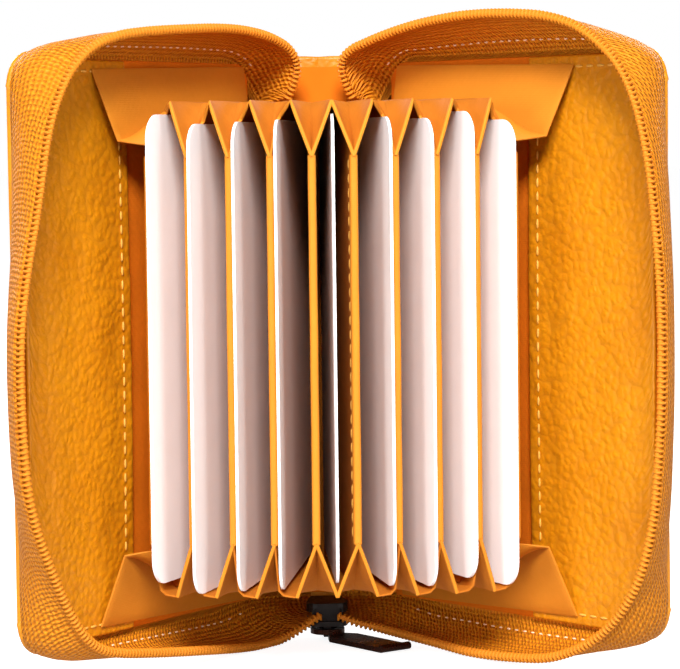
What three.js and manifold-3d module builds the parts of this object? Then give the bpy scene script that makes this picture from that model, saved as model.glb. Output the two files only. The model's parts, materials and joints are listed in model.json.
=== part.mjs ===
// Zip-around card holder: a leather case that opens like a book, with a fan of card
// pockets sewn to its spine and a coil zip round its covers.
// Millimetres, +Z up. It stands on its lower edge, spine at the back (+Y), covers half open.

import * as THREE from 'three';
import { mergeVertices } from 'three/addons/utils/BufferGeometryUtils.js';
import Module from 'manifold-3d';

const wasm = await Module();
wasm.setup();

// Bank card
const CARD_WIDTH = 54;
const CARD_HEIGHT = 85.6;
const CARD_THICKNESS = 0.5;
const CARD_CORNER = 4.6;
const CARD_BACK_ROOM = 1.6;
// How far each card stands above its pocket's floor, from left to right.
const CARD_LIFTS = [1.8, 0, 0.3, 0.6, 1.6, 0.9, 0.6, 1.8, 0.2];
// How far each card stands out of its pocket.
const CARD_STANDS_OUT = [2.2, 2.4, 0.9, 0.8, 1, 0.9, 0.9, 0.9, 1.6];
const CARD_COUNT = CARD_LIFTS.length;

// Card pockets: walls that fan out from the spine, and the folded fabric between them
const WALL_THICKNESS = 1.4;
const WALL_PITCH = 2.4;
const FAN_STEP = THREE.MathUtils.degToRad(5.43);
const POCKET_HEADROOM = 1.7;
const ROOF_THICKNESS = 1.0;
const MOUTH_DROP = 10;
const MOUTH_DEPTH = 9;
const HEM_DROP = 2.4;
const BACK_FOLD_DEPTH = 0.7;
const BACK_FOLD_THICKNESS = 0.4;

// Covers: four layers each, from the outside in
const COVER_HEIGHT = 109.4;
const COVER_WIDTH = 75;
const COVER_CORNER = 9;
const LEATHER = 1.0;
const BOARD = 0.6;
const LINING = 0.4;
const SLIP_LEATHER = 0.8;
const LAYER_INSET = 4;
const LAYER_START = 3;
const SLIP_POCKET_EDGE = 43;
const LEFT_OPENING = THREE.MathUtils.degToRad(35.8);
const RIGHT_OPENING = THREE.MathUtils.degToRad(38.4);

// Zip
const TAPE_THICKNESS = 0.6;
const TAPE_SEAM = 2.7;
const TAPE_EDGE_MARGIN = 0.9;
const TAPE_BELLY = 0.9;
const ZIP_START = 13;
const ZIP_RISE = 5;
const ZIP_SPREAD = 11.9;
const ZIP_CORNER_RUN = 46;
const ZIP_CORNER_FALL = 50;
const ZIP_END_RISE = 1.2;
const ZIP_LEVEL_RUN = 17;
const TAIL_ROOM = 0.6;
const TAIL_GAP_TO_MIDDLE = 1.6;
const TAIL_END_FROM_SPINE = 4;
const TAIL_FOOT_TOP = 3;
const TAIL_FOOT_BOTTOM = 9;
const COIL_THICKNESS = 1.4;
const COIL_CORE_THICKNESS = 1.0;
const COIL_ROOT = 2.4;
const TOOTH_PITCH = 1.6;
const TOOTH_DEPTH = 0.9;

// Slider, its bail and the pull tab
const SLIDER_LENGTH = 10.4;
const SLIDER_FRONT_WIDTH = 8.2;
const SLIDER_BACK_WIDTH = 6;
const SLIDER_PLATE = 1.0;
const SLIDER_FLANGE = 0.9;
const SLIDER_SLOT = 1.0;
const SLIDER_POST_WIDTH = 2;
const SLIDER_POST_LENGTH = 3;
const SLIDER_BACK_ROOM = 1.8;
const BAIL_LENGTH = 7;
const BAIL_WIDTH = 1.4;
const BAIL_BAR = 0.8;
const BAIL_OPENING = 1.7;
const PULL_LENGTH = 22;
const PULL_WIDTH = 7;
const PULL_THICKNESS = 1.0;
const PULL_EYE = 1.9;
const PULL_EYE_RIM = 1.5;
const PULL_LIP = 0.75;
const PULL_STEP = 0.9;
const PULL_TURN = THREE.MathUtils.degToRad(35);

// Spine
const SPINE_LINING = 0.4;
const SPINE_LINING_INSET = 2;
const BASE_THICKNESS = 1.15;
const BASE_SIDE_MARGIN = 0.4;

// Clearances
const GLUE_LINE = 0.1;
const SEWN_GAP = 0.3;
const CARD_CLEARANCE = 0.1;
const CARD_SIDE_ROOM = 0.25;
const WALL_CLEARANCE = 0.2;
const BASE_CLEARANCE = 1.0;
const MESH_CLEARANCE = 0.3;

// Levels and planes worked out from the sizes above
const COVER_BASE = ZIP_RISE + COIL_THICKNESS / 2;
const COVER_TOP = COVER_BASE + COVER_HEIGHT;
const MIDDLE_Z = COVER_BASE + COVER_HEIGHT / 2;
const POCKET_HALF_HEIGHT = CARD_HEIGHT / 2 + POCKET_HEADROOM + ROOF_THICKNESS;
const WALL_DEPTH = CARD_BACK_ROOM + CARD_WIDTH - Math.min(...CARD_STANDS_OUT);
const CARD_FLOOR = MIDDLE_Z - POCKET_HALF_HEIGHT + ROOF_THICKNESS + CARD_CLEARANCE;
const COVER_STACK = LEATHER + BOARD + LINING + SLIP_LEATHER + 3 * GLUE_LINE;
const LAST_WALL = CARD_COUNT;
const FAN_HALF_WIDTH = (LAST_WALL * WALL_PITCH + WALL_THICKNESS) / 2;
const HINGE_X = FAN_HALF_WIDTH + WALL_CLEARANCE + COVER_STACK / 2;
const LEATHER_OUTSIDE = -COVER_STACK / 2;
const LEATHER_INSIDE = LEATHER_OUTSIDE + LEATHER;
const BOARD_OUTSIDE = LEATHER_INSIDE + GLUE_LINE;
const LINING_OUTSIDE = BOARD_OUTSIDE + BOARD + GLUE_LINE;
const SLIP_OUTSIDE = LINING_OUTSIDE + LINING + GLUE_LINE;
const COVER_INSIDE = COVER_STACK / 2;
const SPINE_LINING_Y = -LEATHER_INSIDE - GLUE_LINE - SPINE_LINING;
const BASE_FRONT = SPINE_LINING_Y - GLUE_LINE - BASE_THICKNESS;
const WALL_BACK_Y = BASE_FRONT - BASE_CLEARANCE;
const CARD_OFFSET = WALL_THICKNESS / 2 + CARD_CLEARANCE + CARD_THICKNESS / 2;
const COIL_H = HINGE_X - MESH_CLEARANCE / 2;
const COIL_ROOT_H = COIL_H - COIL_ROOT;
const TAPE_EDGE_H = COIL_ROOT_H - SEWN_GAP;
const TAPE_SEAM_H = LEATHER_INSIDE + GLUE_LINE + TAPE_THICKNESS / 2;
const SLIDER_CHANNEL = COIL_THICKNESS + 4 * MESH_CLEARANCE;
const SLIDER_HEIGHT = SLIDER_CHANNEL + 2 * SLIDER_PLATE;
const BAIL_DROP = BAIL_BAR + BAIL_OPENING;
const SLIDER_Z = BAIL_DROP + GLUE_LINE + SLIDER_HEIGHT / 2;
const SLIDER_Y = -SLIDER_BACK_ROOM - SLIDER_LENGTH / 2;

const colours = {
  leather: 0xe08a12,
  lining: 0xd9780f,
  pocket: 0xe8951f,
  board: 0x8a6a4a,
  tape: 0xe8931a,
  coil: 0xe98f22,
  card: 0xf2efee,
  metal: 0x3a3230,
};

function finish(colour, roughness, metalness = 0) {
  return new THREE.MeshStandardMaterial({ color: colour, roughness, metalness });
}

// Geometry helpers

// Shared corners only, so that a mesh is one closed surface.
function welded(geometry) {
  const bare = new THREE.BufferGeometry();
  bare.setAttribute('position', geometry.getAttribute('position').clone());
  if (geometry.index) {
    bare.setIndex(geometry.index.clone());
  }
  return mergeVertices(bare, 1e-4);
}

function fromFaces(points, faces) {
  const geometry = new THREE.BufferGeometry().setFromPoints(points);
  geometry.setIndex(faces);
  return facingOut(geometry);
}

function turnedInsideOut(geometry) {
  const index = Array.from(geometry.index.array);
  for (let i = 0; i < index.length; i += 3) {
    [index[i + 1], index[i + 2]] = [index[i + 2], index[i + 1]];
  }
  geometry.setIndex(index);
  return geometry;
}

function facingOut(geometry) {
  const place = geometry.getAttribute('position');
  const corners = [new THREE.Vector3(), new THREE.Vector3(), new THREE.Vector3()];
  let volume = 0;
  for (let i = 0; i < geometry.index.count; i += 3) {
    corners.forEach((corner, n) => corner.fromBufferAttribute(place, geometry.index.getX(i + n)));
    volume += corners[0].dot(corners[1].cross(corners[2]));
  }
  return volume < 0 ? turnedInsideOut(geometry) : geometry;
}

function mirrored(geometry) {
  return turnedInsideOut(welded(geometry).scale(-1, 1, 1));
}

function mirroredInZ(points) {
  return points.map((row) => row.map((p) => new THREE.Vector3(p.x, p.y, 2 * MIDDLE_Z - p.z)));
}

// A shape drawn in (distance from the spine, height) becomes a plate that stands on edge:
// its first axis runs towards the front (-Y), its second up, and it fills low to high along X.
function standingPlate(shape, low, high, curveSegments = 8) {
  const flat = new THREE.ExtrudeGeometry(shape, {
    depth: high - low,
    bevelEnabled: false,
    curveSegments,
  });
  const upright = new THREE.Matrix4().makeBasis(
    new THREE.Vector3(0, -1, 0),
    new THREE.Vector3(0, 0, 1),
    new THREE.Vector3(-1, 0, 0),
  );
  return welded(flat.applyMatrix4(upright).translate(high, 0, 0));
}

// A shape drawn in plan becomes a plate between two heights.
function lyingPlate(shape, low, high, curveSegments = 8) {
  const flat = new THREE.ExtrudeGeometry(shape, {
    depth: high - low,
    bevelEnabled: false,
    curveSegments,
  });
  return welded(flat.translate(0, 0, low));
}

// The closed solid between two sheets that are grids of the same rows and columns.
function slab(upper, lower, turnDiagonal = () => false) {
  const rows = upper.length;
  const columns = upper[0].length;
  const faces = [];
  const above = (i, j) => i * columns + j;
  const below = (i, j) => rows * columns + i * columns + j;
  const quad = (a, b, c, d, turned = false) => {
    faces.push(...(turned ? [a, b, d, b, c, d] : [a, b, c, a, c, d]));
  };
  for (let i = 0; i + 1 < rows; i += 1) {
    for (let j = 0; j + 1 < columns; j += 1) {
      const turned = turnDiagonal(i, j);
      quad(above(i, j), above(i, j + 1), above(i + 1, j + 1), above(i + 1, j), turned);
      quad(below(i, j), below(i + 1, j), below(i + 1, j + 1), below(i, j + 1), turned);
    }
    const last = columns - 1;
    quad(above(i, 0), above(i + 1, 0), below(i + 1, 0), below(i, 0));
    quad(above(i + 1, last), above(i, last), below(i, last), below(i + 1, last));
  }
  for (let j = 0; j + 1 < columns; j += 1) {
    const last = rows - 1;
    quad(above(0, j + 1), above(0, j), below(0, j), below(0, j + 1));
    quad(above(last, j), above(last, j + 1), below(last, j + 1), below(last, j));
  }
  return fromFaces([...upper.flat(), ...lower.flat()], faces);
}

// The closed solid through a row of four-cornered sections.
function fourSidedLoft(sections) {
  const faces = [];
  for (let i = 0; i + 1 < sections.length; i += 1) {
    for (let n = 0; n < 4; n += 1) {
      const a = 4 * i + n;
      const b = 4 * i + ((n + 1) % 4);
      faces.push(a, b, b + 4, a, b + 4, a + 4);
    }
  }
  const end = 4 * (sections.length - 1);
  faces.push(0, 2, 1, 0, 3, 2, end, end + 1, end + 2, end, end + 2, end + 3);
  return fromFaces(sections.flat(), faces);
}

function toSolid(geometry) {
  const closed = welded(geometry);
  const place = closed.getAttribute('position');
  return new wasm.Manifold(new wasm.Mesh({
    numProp: 3,
    vertProperties: new Float32Array(place.array),
    triVerts: new Uint32Array(closed.index.array),
  }));
}

function toGeometry(solid) {
  const mesh = solid.getMesh();
  const geometry = new THREE.BufferGeometry();
  geometry.setAttribute('position', new THREE.BufferAttribute(mesh.vertProperties, 3));
  geometry.setIndex(Array.from(mesh.triVerts));
  return geometry;
}

function joined(first, ...others) {
  return toGeometry(others.reduce((solid, next) => solid.add(toSolid(next)), toSolid(first)));
}

function cut(first, ...others) {
  return toGeometry(others.reduce((solid, next) => solid.subtract(toSolid(next)), toSolid(first)));
}

function block(x0, x1, y0, y1, z0, z1) {
  return new THREE.BoxGeometry(x1 - x0, y1 - y0, z1 - z0)
    .translate((x0 + x1) / 2, (y0 + y1) / 2, (z0 + z1) / 2);
}

function named(name, geometry, material) {
  const mesh = new THREE.Mesh(geometry, material);
  mesh.name = name;
  return mesh;
}

// Spine: outer leather, inside lining, and the stiff strip that the card pockets are sewn to

function spine() {
  const group = new THREE.Group();
  const half = HINGE_X - SEWN_GAP;
  const base = FAN_HALF_WIDTH - BASE_SIDE_MARGIN;
  const baseHalfHeight = POCKET_HALF_HEIGHT - ROOF_THICKNESS - POCKET_HEADROOM;
  group.add(
    named('spine_leather',
      block(-half, half, -LEATHER_INSIDE, -LEATHER_OUTSIDE, COVER_BASE, COVER_TOP),
      finish(colours.leather, 0.55)),
    named('spine_lining',
      block(-half + SPINE_LINING, half - SPINE_LINING, SPINE_LINING_Y, SPINE_LINING_Y + SPINE_LINING,
        COVER_BASE + SPINE_LINING_INSET, COVER_TOP - SPINE_LINING_INSET),
      finish(colours.lining, 0.8)),
    named('pocket_base_strip',
      block(-base, base, BASE_FRONT, BASE_FRONT + BASE_THICKNESS,
        MIDDLE_Z - baseHalfHeight, MIDDLE_Z + baseHalfHeight),
      finish(colours.board, 0.9)),
  );
  return group;
}

// The outer leather where it folds round the hinge line, with the cover opened so far.
function hingeFold(opening) {
  const start = Math.PI / 2;
  const end = Math.PI - opening;
  const section = new THREE.Shape();
  section.absarc(0, 0, -LEATHER_OUTSIDE, start, end, false);
  section.absarc(0, 0, -LEATHER_INSIDE, end, start, true);
  return lyingPlate(section, COVER_BASE, COVER_TOP).translate(-HINGE_X, 0, 0);
}

// Covers. The left one is drawn closed, with the hinge line at the origin, its inside facing +X
// and its fore-edge towards -Y. The right one is its mirror image.

function coverOutline(start, inset) {
  const radius = COVER_CORNER - inset;
  const low = COVER_BASE + inset;
  const high = COVER_TOP - inset;
  const across = COVER_WIDTH - inset - radius;
  const outline = new THREE.Shape();
  outline.moveTo(start, low);
  outline.lineTo(across, low);
  outline.absarc(across, low + radius, radius, -Math.PI / 2, 0, false);
  outline.absarc(across, high - radius, radius, 0, Math.PI / 2, false);
  outline.lineTo(start, high);
  return outline;
}

function coverLayer(start, inset, outside, thickness) {
  return standingPlate(coverOutline(start, inset), outside, outside + thickness);
}

// Zip. Its chain is a flat curve that stands off the cover's edge; zipLine gives it in
// (distance from the hinge, height), from the top end by the spine to the bottom end.

function zipLine() {
  const fore = COVER_WIDTH + ZIP_SPREAD;
  const top = COVER_TOP + ZIP_RISE;
  const bottom = COVER_BASE - ZIP_RISE;
  const point = (u, z) => new THREE.Vector2(u, z);
  const run = fore - ZIP_CORNER_RUN;
  const near = fore - ZIP_CORNER_RUN / 3;
  const fall = ZIP_CORNER_FALL;
  const line = new THREE.CurvePath();
  const level = ZIP_START + ZIP_LEVEL_RUN;
  line.add(new THREE.QuadraticBezierCurve(
    point(ZIP_START, COVER_TOP + ZIP_END_RISE), point((ZIP_START + level) / 2, top), point(level, top)));
  line.add(new THREE.LineCurve(point(level, top), point(run, top)));
  line.add(new THREE.CubicBezierCurve(
    point(run, top), point(near, top), point(fore, top - fall / 3), point(fore, top - fall)));
  line.add(new THREE.LineCurve(point(fore, top - fall), point(fore, bottom + fall)));
  line.add(new THREE.CubicBezierCurve(
    point(fore, bottom + fall), point(fore, bottom + fall / 3), point(near, bottom), point(run, bottom)));
  line.add(new THREE.LineCurve(point(run, bottom), point(ZIP_START, SLIDER_Z)));
  return line;
}

// The nearest point of the cover's outline, and the way outwards there.
function coverEdgeAt(p) {
  const across = COVER_WIDTH - COVER_CORNER;
  const inner = new THREE.Vector2(
    Math.min(p.x, across),
    THREE.MathUtils.clamp(p.y, COVER_BASE + COVER_CORNER, COVER_TOP - COVER_CORNER),
  );
  const outwards = p.clone().sub(inner).normalize();
  return { edge: inner.clone().addScaledVector(outwards, COVER_CORNER), outwards };
}

// The tape's section at one place: flat under the cover's edge, then up and out to the coil.
// Corners are (distance outwards from the cover's edge, height above the hinge plane).
function tapeSection(reach) {
  const rim = -TAPE_EDGE_MARGIN;
  const line = [
    new THREE.Vector2(rim - TAPE_SEAM, TAPE_SEAM_H),
    new THREE.Vector2(rim, TAPE_SEAM_H),
    new THREE.Vector2((rim + reach) / 2 + TAPE_BELLY, (TAPE_SEAM_H + TAPE_EDGE_H) / 2),
    new THREE.Vector2(reach, TAPE_EDGE_H),
  ];
  const legs = line.slice(1).map((p, i) => p.clone().sub(line[i]).normalize());
  return line.map((p, i) => {
    const before = legs[Math.max(i - 1, 0)];
    const after = legs[Math.min(i, legs.length - 1)];
    const across = before.clone().add(after).normalize();
    const half = TAPE_THICKNESS / 2 / across.dot(after);
    const side = new THREE.Vector2(-across.y, across.x).multiplyScalar(half);
    return { inner: p.clone().add(side), outer: p.clone().sub(side) };
  });
}

function zipTape() {
  const inner = [];
  const outer = [];
  zipLine().getSpacedPoints(56).forEach((p) => {
    const { edge, outwards } = coverEdgeAt(p);
    const reach = p.clone().sub(edge).dot(outwards);
    const place = (q) => {
      const at = edge.clone().addScaledVector(outwards, q.x);
      return new THREE.Vector3(q.y, -at.x, at.y);
    };
    const section = tapeSection(reach);
    inner.push(section.map((q) => place(q.inner)));
    outer.push(section.map((q) => place(q.outer)));
  });
  return slab(inner, outer);
}

// The coil: a bead along the tape's edge that swells into a tooth at every pitch.
// The other cover's teeth are half a pitch along, so that the two mesh when the covers close.
function zipCoil(firstTooth) {
  const line = zipLine();
  const steps = 2 * Math.round(line.getLength() / TOOTH_PITCH);
  const sections = [];
  for (let i = 0; i <= steps; i += 1) {
    const p = line.getPointAt(i / steps);
    const along = line.getTangentAt(i / steps);
    const tooth = i % 2 === firstTooth;
    const half = (tooth ? COIL_THICKNESS : COIL_CORE_THICKNESS) / 2;
    const tip = COIL_H + (tooth ? TOOTH_DEPTH : -TOOTH_DEPTH) / 2;
    const corner = (h, side) => new THREE.Vector3(h, -p.x + along.y * side, p.y + along.x * side);
    sections.push([
      corner(COIL_ROOT_H, -half), corner(tip, -half), corner(tip, half), corner(COIL_ROOT_H, half)]);
  }
  return fourSidedLoft(sections);
}

// A point of the left cover, given closed, where it stands when opened so far.
function onOpenCover(p, opening) {
  return p.clone()
    .applyAxisAngle(new THREE.Vector3(0, 0, 1), -opening)
    .add(new THREE.Vector3(-HINGE_X, 0, 0));
}

// Where the zip's loose end takes over from the chain.
function tailStart(z, opening) {
  return onOpenCover(new THREE.Vector3(COIL_H - COIL_ROOT / 2, SEWN_GAP - ZIP_START, z), opening);
}

// The zip's loose end by the spine: it leaves the cover's edge and runs in to the middle.
function zipTail(opening, chainStart, chainBend, chainEnd, seamZ, foot) {
  const chain = new THREE.QuadraticBezierCurve3(chainStart, chainBend, chainEnd);
  const rows = 6;
  const upper = [];
  const lower = [];
  for (let i = 0; i <= rows; i += 1) {
    const t = i / rows;
    const u = THREE.MathUtils.lerp(ZIP_START - SEWN_GAP, foot, t);
    const seam = onOpenCover(new THREE.Vector3(TAPE_SEAM_H, -u, seamZ), opening);
    const rim = chain.getPoint(t);
    const middle = seam.clone().lerp(rim, 0.5);
    const line = [seam, middle, rim];
    const thickness = [TAPE_THICKNESS, TAPE_THICKNESS, COIL_THICKNESS];
    const raised = (share) => line.map((p, n) => p.clone().setZ(p.z + share * thickness[n]));
    upper.push(raised(0.5));
    lower.push(raised(-0.5));
  }
  return slab(upper, lower);
}

function topTail(opening) {
  const start = tailStart(COVER_TOP + ZIP_END_RISE, opening);
  const overPockets = MIDDLE_Z + POCKET_HALF_HEIGHT + TAIL_ROOM + COIL_THICKNESS / 2;
  const end = new THREE.Vector3(-TAIL_GAP_TO_MIDDLE, WALL_BACK_Y - TAIL_END_FROM_SPINE, overPockets);
  const bend = new THREE.Vector3(end.x, (start.y + end.y) / 2, COVER_TOP);
  return zipTail(opening, start, bend, end, COVER_TOP - TAPE_EDGE_MARGIN, TAIL_FOOT_TOP);
}

function bottomTail(opening) {
  const start = tailStart(SLIDER_Z, opening);
  const end = new THREE.Vector3(
    -TAIL_GAP_TO_MIDDLE, SLIDER_Y - SLIDER_LENGTH / 2 - SEWN_GAP, SLIDER_Z);
  const bend = start.clone().lerp(end, 0.5);
  return zipTail(opening, start, bend, end, COVER_BASE + TAPE_EDGE_MARGIN, TAIL_FOOT_BOTTOM);
}

// Card pockets. Wall k leaves the base at its own angle; places on it are given by the
// distance r from its back edge and the distance s to its right.

function fanAngle(k) {
  return (k - LAST_WALL / 2) * FAN_STEP;
}

function wallBack(k) {
  return new THREE.Vector3((k - LAST_WALL / 2) * WALL_PITCH, WALL_BACK_Y, 0);
}

function besideWall(k, r, s, z) {
  const angle = fanAngle(k);
  return wallBack(k).add(new THREE.Vector3(
    r * Math.sin(angle) + s * Math.cos(angle),
    -r * Math.cos(angle) + s * Math.sin(angle),
    z,
  ));
}

// A wall's front corners are cut back under the folded mouth of its pockets.
function pocketWall() {
  const high = POCKET_HALF_HEIGHT - ROOF_THICKNESS - SEWN_GAP;
  const front = POCKET_HALF_HEIGHT - MOUTH_DROP - HEM_DROP - SEWN_GAP;
  const shoulder = WALL_DEPTH - MOUTH_DEPTH;
  const back = BACK_FOLD_THICKNESS / 2;
  const outline = new THREE.Shape([
    new THREE.Vector2(back, -high),
    new THREE.Vector2(shoulder, -high),
    new THREE.Vector2(WALL_DEPTH, -front),
    new THREE.Vector2(WALL_DEPTH, front),
    new THREE.Vector2(shoulder, high),
    new THREE.Vector2(back, high),
  ]);
  return standingPlate(outline, -WALL_THICKNESS / 2, WALL_THICKNESS / 2).translate(0, 0, MIDDLE_Z);
}

// The folded fabric of one pocket: a roof that ends in a gabled mouth, the same turned over
// below, and the fold at the back that joins them. Where the pocket's card leans on a wall,
// the mouth starts beyond the card.
function pocketFabric(k, cardSide) {
  const edge = MESH_CLEARANCE / 2;
  const beyondCard = CARD_OFFSET + CARD_THICKNESS / 2 + CARD_SIDE_ROOM;
  const start = {
    left: cardSide === 'left' ? beyondCard : edge,
    right: cardSide === 'right' ? beyondCard : edge,
  };
  const shoulder = WALL_DEPTH - MOUTH_DEPTH;
  const roofTop = MIDDLE_Z + POCKET_HALF_HEIGHT;
  const mouthHalf = besideWall(k, WALL_DEPTH, 0, 0).distanceTo(besideWall(k + 1, WALL_DEPTH, 0, 0)) / 2;
  const mouthEdge = (s) => roofTop - MOUTH_DROP * (1 - s / mouthHalf);
  const row = (r, left, right, leftZ, rightZ, drop) => {
    const middle = besideWall(k, r, 0, 0).lerp(besideWall(k + 1, r, 0, 0), 0.5);
    return [
      besideWall(k, r, left, leftZ - drop),
      middle.setZ(roofTop - drop),
      besideWall(k + 1, r, -right, rightZ - drop),
    ];
  };
  const sheet = (roofDrop, mouthDrop) => [
    row(BACK_FOLD_DEPTH, edge, edge, roofTop, roofTop, roofDrop),
    row(shoulder - SEWN_GAP, edge, edge, roofTop, roofTop, roofDrop),
    row(shoulder, start.left, start.right, roofTop, roofTop, roofDrop),
    row(WALL_DEPTH, start.left, start.right, mouthEdge(start.left), mouthEdge(start.right), mouthDrop),
  ];
  const upper = sheet(0, 0);
  const lower = sheet(ROOF_THICKNESS, HEM_DROP);
  const turned = (i, j) => j === 0;
  const roof = slab(upper, lower, turned);
  const floor = slab(mirroredInZ(lower), mirroredInZ(upper), turned);
  const foldAt = (r, side) => {
    const centre = besideWall(k, r, 0, 0).lerp(besideWall(k + 1, r, 0, 0), 0.5);
    return [-1, 1].map((up) => new THREE.Vector3(
      centre.x + side * BACK_FOLD_THICKNESS / 2,
      centre.y,
      MIDDLE_Z + up * (POCKET_HALF_HEIGHT - ROOF_THICKNESS / 2),
    ));
  };
  const front = BACK_FOLD_DEPTH + BACK_FOLD_DEPTH;
  const fold = slab(
    [foldAt(BACK_FOLD_DEPTH, -1), foldAt(front, -1)],
    [foldAt(BACK_FOLD_DEPTH, 1), foldAt(front, 1)],
  );
  return joined(roof, fold, floor);
}

function card(standsOut) {
  const half = CARD_HEIGHT / 2;
  const r = CARD_CORNER;
  const outline = new THREE.Shape();
  outline.absarc(r, -half + r, r, Math.PI, 1.5 * Math.PI, false);
  outline.absarc(CARD_WIDTH - r, -half + r, r, 1.5 * Math.PI, 2 * Math.PI, false);
  outline.absarc(CARD_WIDTH - r, half - r, r, 0, Math.PI / 2, false);
  outline.absarc(r, half - r, r, Math.PI / 2, Math.PI, false);
  return standingPlate(outline, -CARD_THICKNESS / 2, CARD_THICKNESS / 2, 4)
    .translate(0, CARD_WIDTH - WALL_DEPTH - standsOut, half + CARD_FLOOR);
}

// The fabric wing that closes the gap between the left end wall and the left cover at the top:
// from the cover down to a valley and up to the wall.
function endGusset(opening) {
  const roofTop = MIDDLE_Z + POCKET_HALF_HEIGHT;
  const beside = -WALL_THICKNESS / 2 - SEWN_GAP;
  const onCover = (u, z) => onOpenCover(new THREE.Vector3(COVER_INSIDE + SEWN_GAP, -u, z), opening);
  const seamZ = COVER_TOP - LAYER_INSET;
  const shoulder = WALL_DEPTH - MOUTH_DEPTH;
  const valley = (a, b, drop) => a.clone().lerp(b, 0.5).setZ(roofTop - drop);
  const row = (r, drop) => {
    const a = onCover(r, seamZ);
    const b = besideWall(0, r, beside, roofTop - ROOF_THICKNESS / 2);
    return [a, valley(a, b, drop), b];
  };
  const upper = [
    row(2 * LAYER_START, ROOF_THICKNESS),
    row(shoulder, MOUTH_DROP / 2),
    row(WALL_DEPTH - SEWN_GAP, MOUTH_DROP - ROOF_THICKNESS),
  ];
  const lower = upper.map((points) => points.map((p) => p.clone().setZ(p.z - ROOF_THICKNESS)));
  return slab(upper, lower);
}

function overturned(geometry) {
  const copy = welded(geometry).translate(0, 0, -MIDDLE_Z).scale(1, 1, -1).translate(0, 0, MIDDLE_Z);
  return turnedInsideOut(copy);
}

// Zip slider: two plates joined by a post at the front, with flanges that hold the coils in.
// Drawn about its own middle, front towards -Y.

function sliderOutline(trim, overrun) {
  const front = SLIDER_FRONT_WIDTH / 2 - trim;
  const back = SLIDER_BACK_WIDTH / 2 - trim;
  const length = SLIDER_LENGTH / 2 + overrun;
  const outline = new THREE.Shape();
  outline.moveTo(-back, length);
  outline.lineTo(back, length);
  outline.lineTo(front, -length / 3);
  outline.quadraticCurveTo(front, -length, front / 2, -length);
  outline.lineTo(-front / 2, -length);
  outline.quadraticCurveTo(-front, -length, -front, -length / 3);
  return outline;
}

function zipSlider() {
  const half = SLIDER_HEIGHT / 2;
  const channel = SLIDER_CHANNEL / 2;
  const slot = SLIDER_SLOT / 2;
  const wide = SLIDER_FRONT_WIDTH;
  const long = SLIDER_LENGTH;
  const body = lyingPlate(sliderOutline(0, 0), -half, half, 4);
  const inside = lyingPlate(sliderOutline(SLIDER_FLANGE, SLIDER_FLANGE), -channel, channel, 4);
  const sides = block(-wide, wide, -long, long, -slot, slot);
  const postEnd = -long / 2 + SLIDER_PLATE;
  const postShape = new THREE.Shape([
    new THREE.Vector2(0, postEnd),
    new THREE.Vector2(SLIDER_POST_WIDTH / 2, postEnd + SLIDER_POST_LENGTH / 2),
    new THREE.Vector2(0, postEnd + SLIDER_POST_LENGTH),
    new THREE.Vector2(-SLIDER_POST_WIDTH / 2, postEnd + SLIDER_POST_LENGTH / 2),
  ]);
  const post = lyingPlate(postShape, -channel - SLIDER_PLATE / 2, channel + SLIDER_PLATE / 2);
  return joined(cut(body, inside, sides), post);
}

// The bail: a low bridge under the slider that the pull tab's eye hangs on.
function zipBail() {
  const long = BAIL_LENGTH / 2;
  const arch = new THREE.Shape();
  arch.moveTo(-long, 0);
  arch.quadraticCurveTo(-long, -BAIL_DROP, -long + BAIL_OPENING, -BAIL_DROP);
  arch.lineTo(long - BAIL_OPENING, -BAIL_DROP);
  arch.quadraticCurveTo(long, -BAIL_DROP, long, 0);
  arch.lineTo(long - BAIL_BAR, 0);
  arch.quadraticCurveTo(long - BAIL_BAR, -BAIL_OPENING, long - BAIL_OPENING, -BAIL_OPENING);
  arch.lineTo(-long + BAIL_OPENING, -BAIL_OPENING);
  arch.quadraticCurveTo(-long + BAIL_BAR, -BAIL_OPENING, -long + BAIL_BAR, 0);
  return standingPlate(arch, -BAIL_WIDTH / 2, BAIL_WIDTH / 2, 4);
}

// The pull tab: an eye round the bail's front leg, a step down, a flat blade and a rolled end.
// Drawn with the eye's middle at the origin and the blade towards -Y.
function pullTab() {
  const rim = PULL_EYE + PULL_EYE_RIM;
  const wide = PULL_WIDTH / 2;
  const ring = new THREE.Shape();
  ring.absarc(0, 0, rim, 0, 2 * Math.PI, false);
  const eye = new THREE.Path();
  eye.absarc(0, 0, PULL_EYE, 0, 2 * Math.PI, false);
  ring.holes.push(eye);
  const blade = new THREE.Shape();
  blade.moveTo(-rim / 2, -PULL_EYE - PULL_EYE_RIM / 3);
  blade.lineTo(rim / 2, -PULL_EYE - PULL_EYE_RIM / 3);
  blade.lineTo(wide, -rim - wide / 2);
  blade.lineTo(wide, -PULL_LENGTH + PULL_LIP);
  blade.lineTo(-wide, -PULL_LENGTH + PULL_LIP);
  blade.lineTo(-wide, -rim - wide / 2);
  const low = -PULL_THICKNESS / 2;
  const lip = new THREE.CylinderGeometry(PULL_LIP, PULL_LIP, PULL_WIDTH, 10)
    .rotateZ(Math.PI / 2)
    .translate(0, -PULL_LENGTH + PULL_LIP, low - PULL_STEP + PULL_LIP);
  return joined(
    lyingPlate(ring, low, low + PULL_THICKNESS, 10),
    lyingPlate(blade, low - PULL_STEP, low - PULL_STEP + PULL_THICKNESS),
    lip,
  );
}

// Assembly

const cover = {
  leather: coverLayer(SEWN_GAP, 0, LEATHER_OUTSIDE, LEATHER),
  board: coverLayer(LAYER_START, LAYER_INSET, BOARD_OUTSIDE, BOARD),
  lining: coverLayer(LAYER_START, LAYER_INSET, LINING_OUTSIDE, LINING),
  slip_pocket: coverLayer(SLIP_POCKET_EDGE, LAYER_INSET, SLIP_OUTSIDE, SLIP_LEATHER),
  zip_tape: zipTape(),
};

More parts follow.
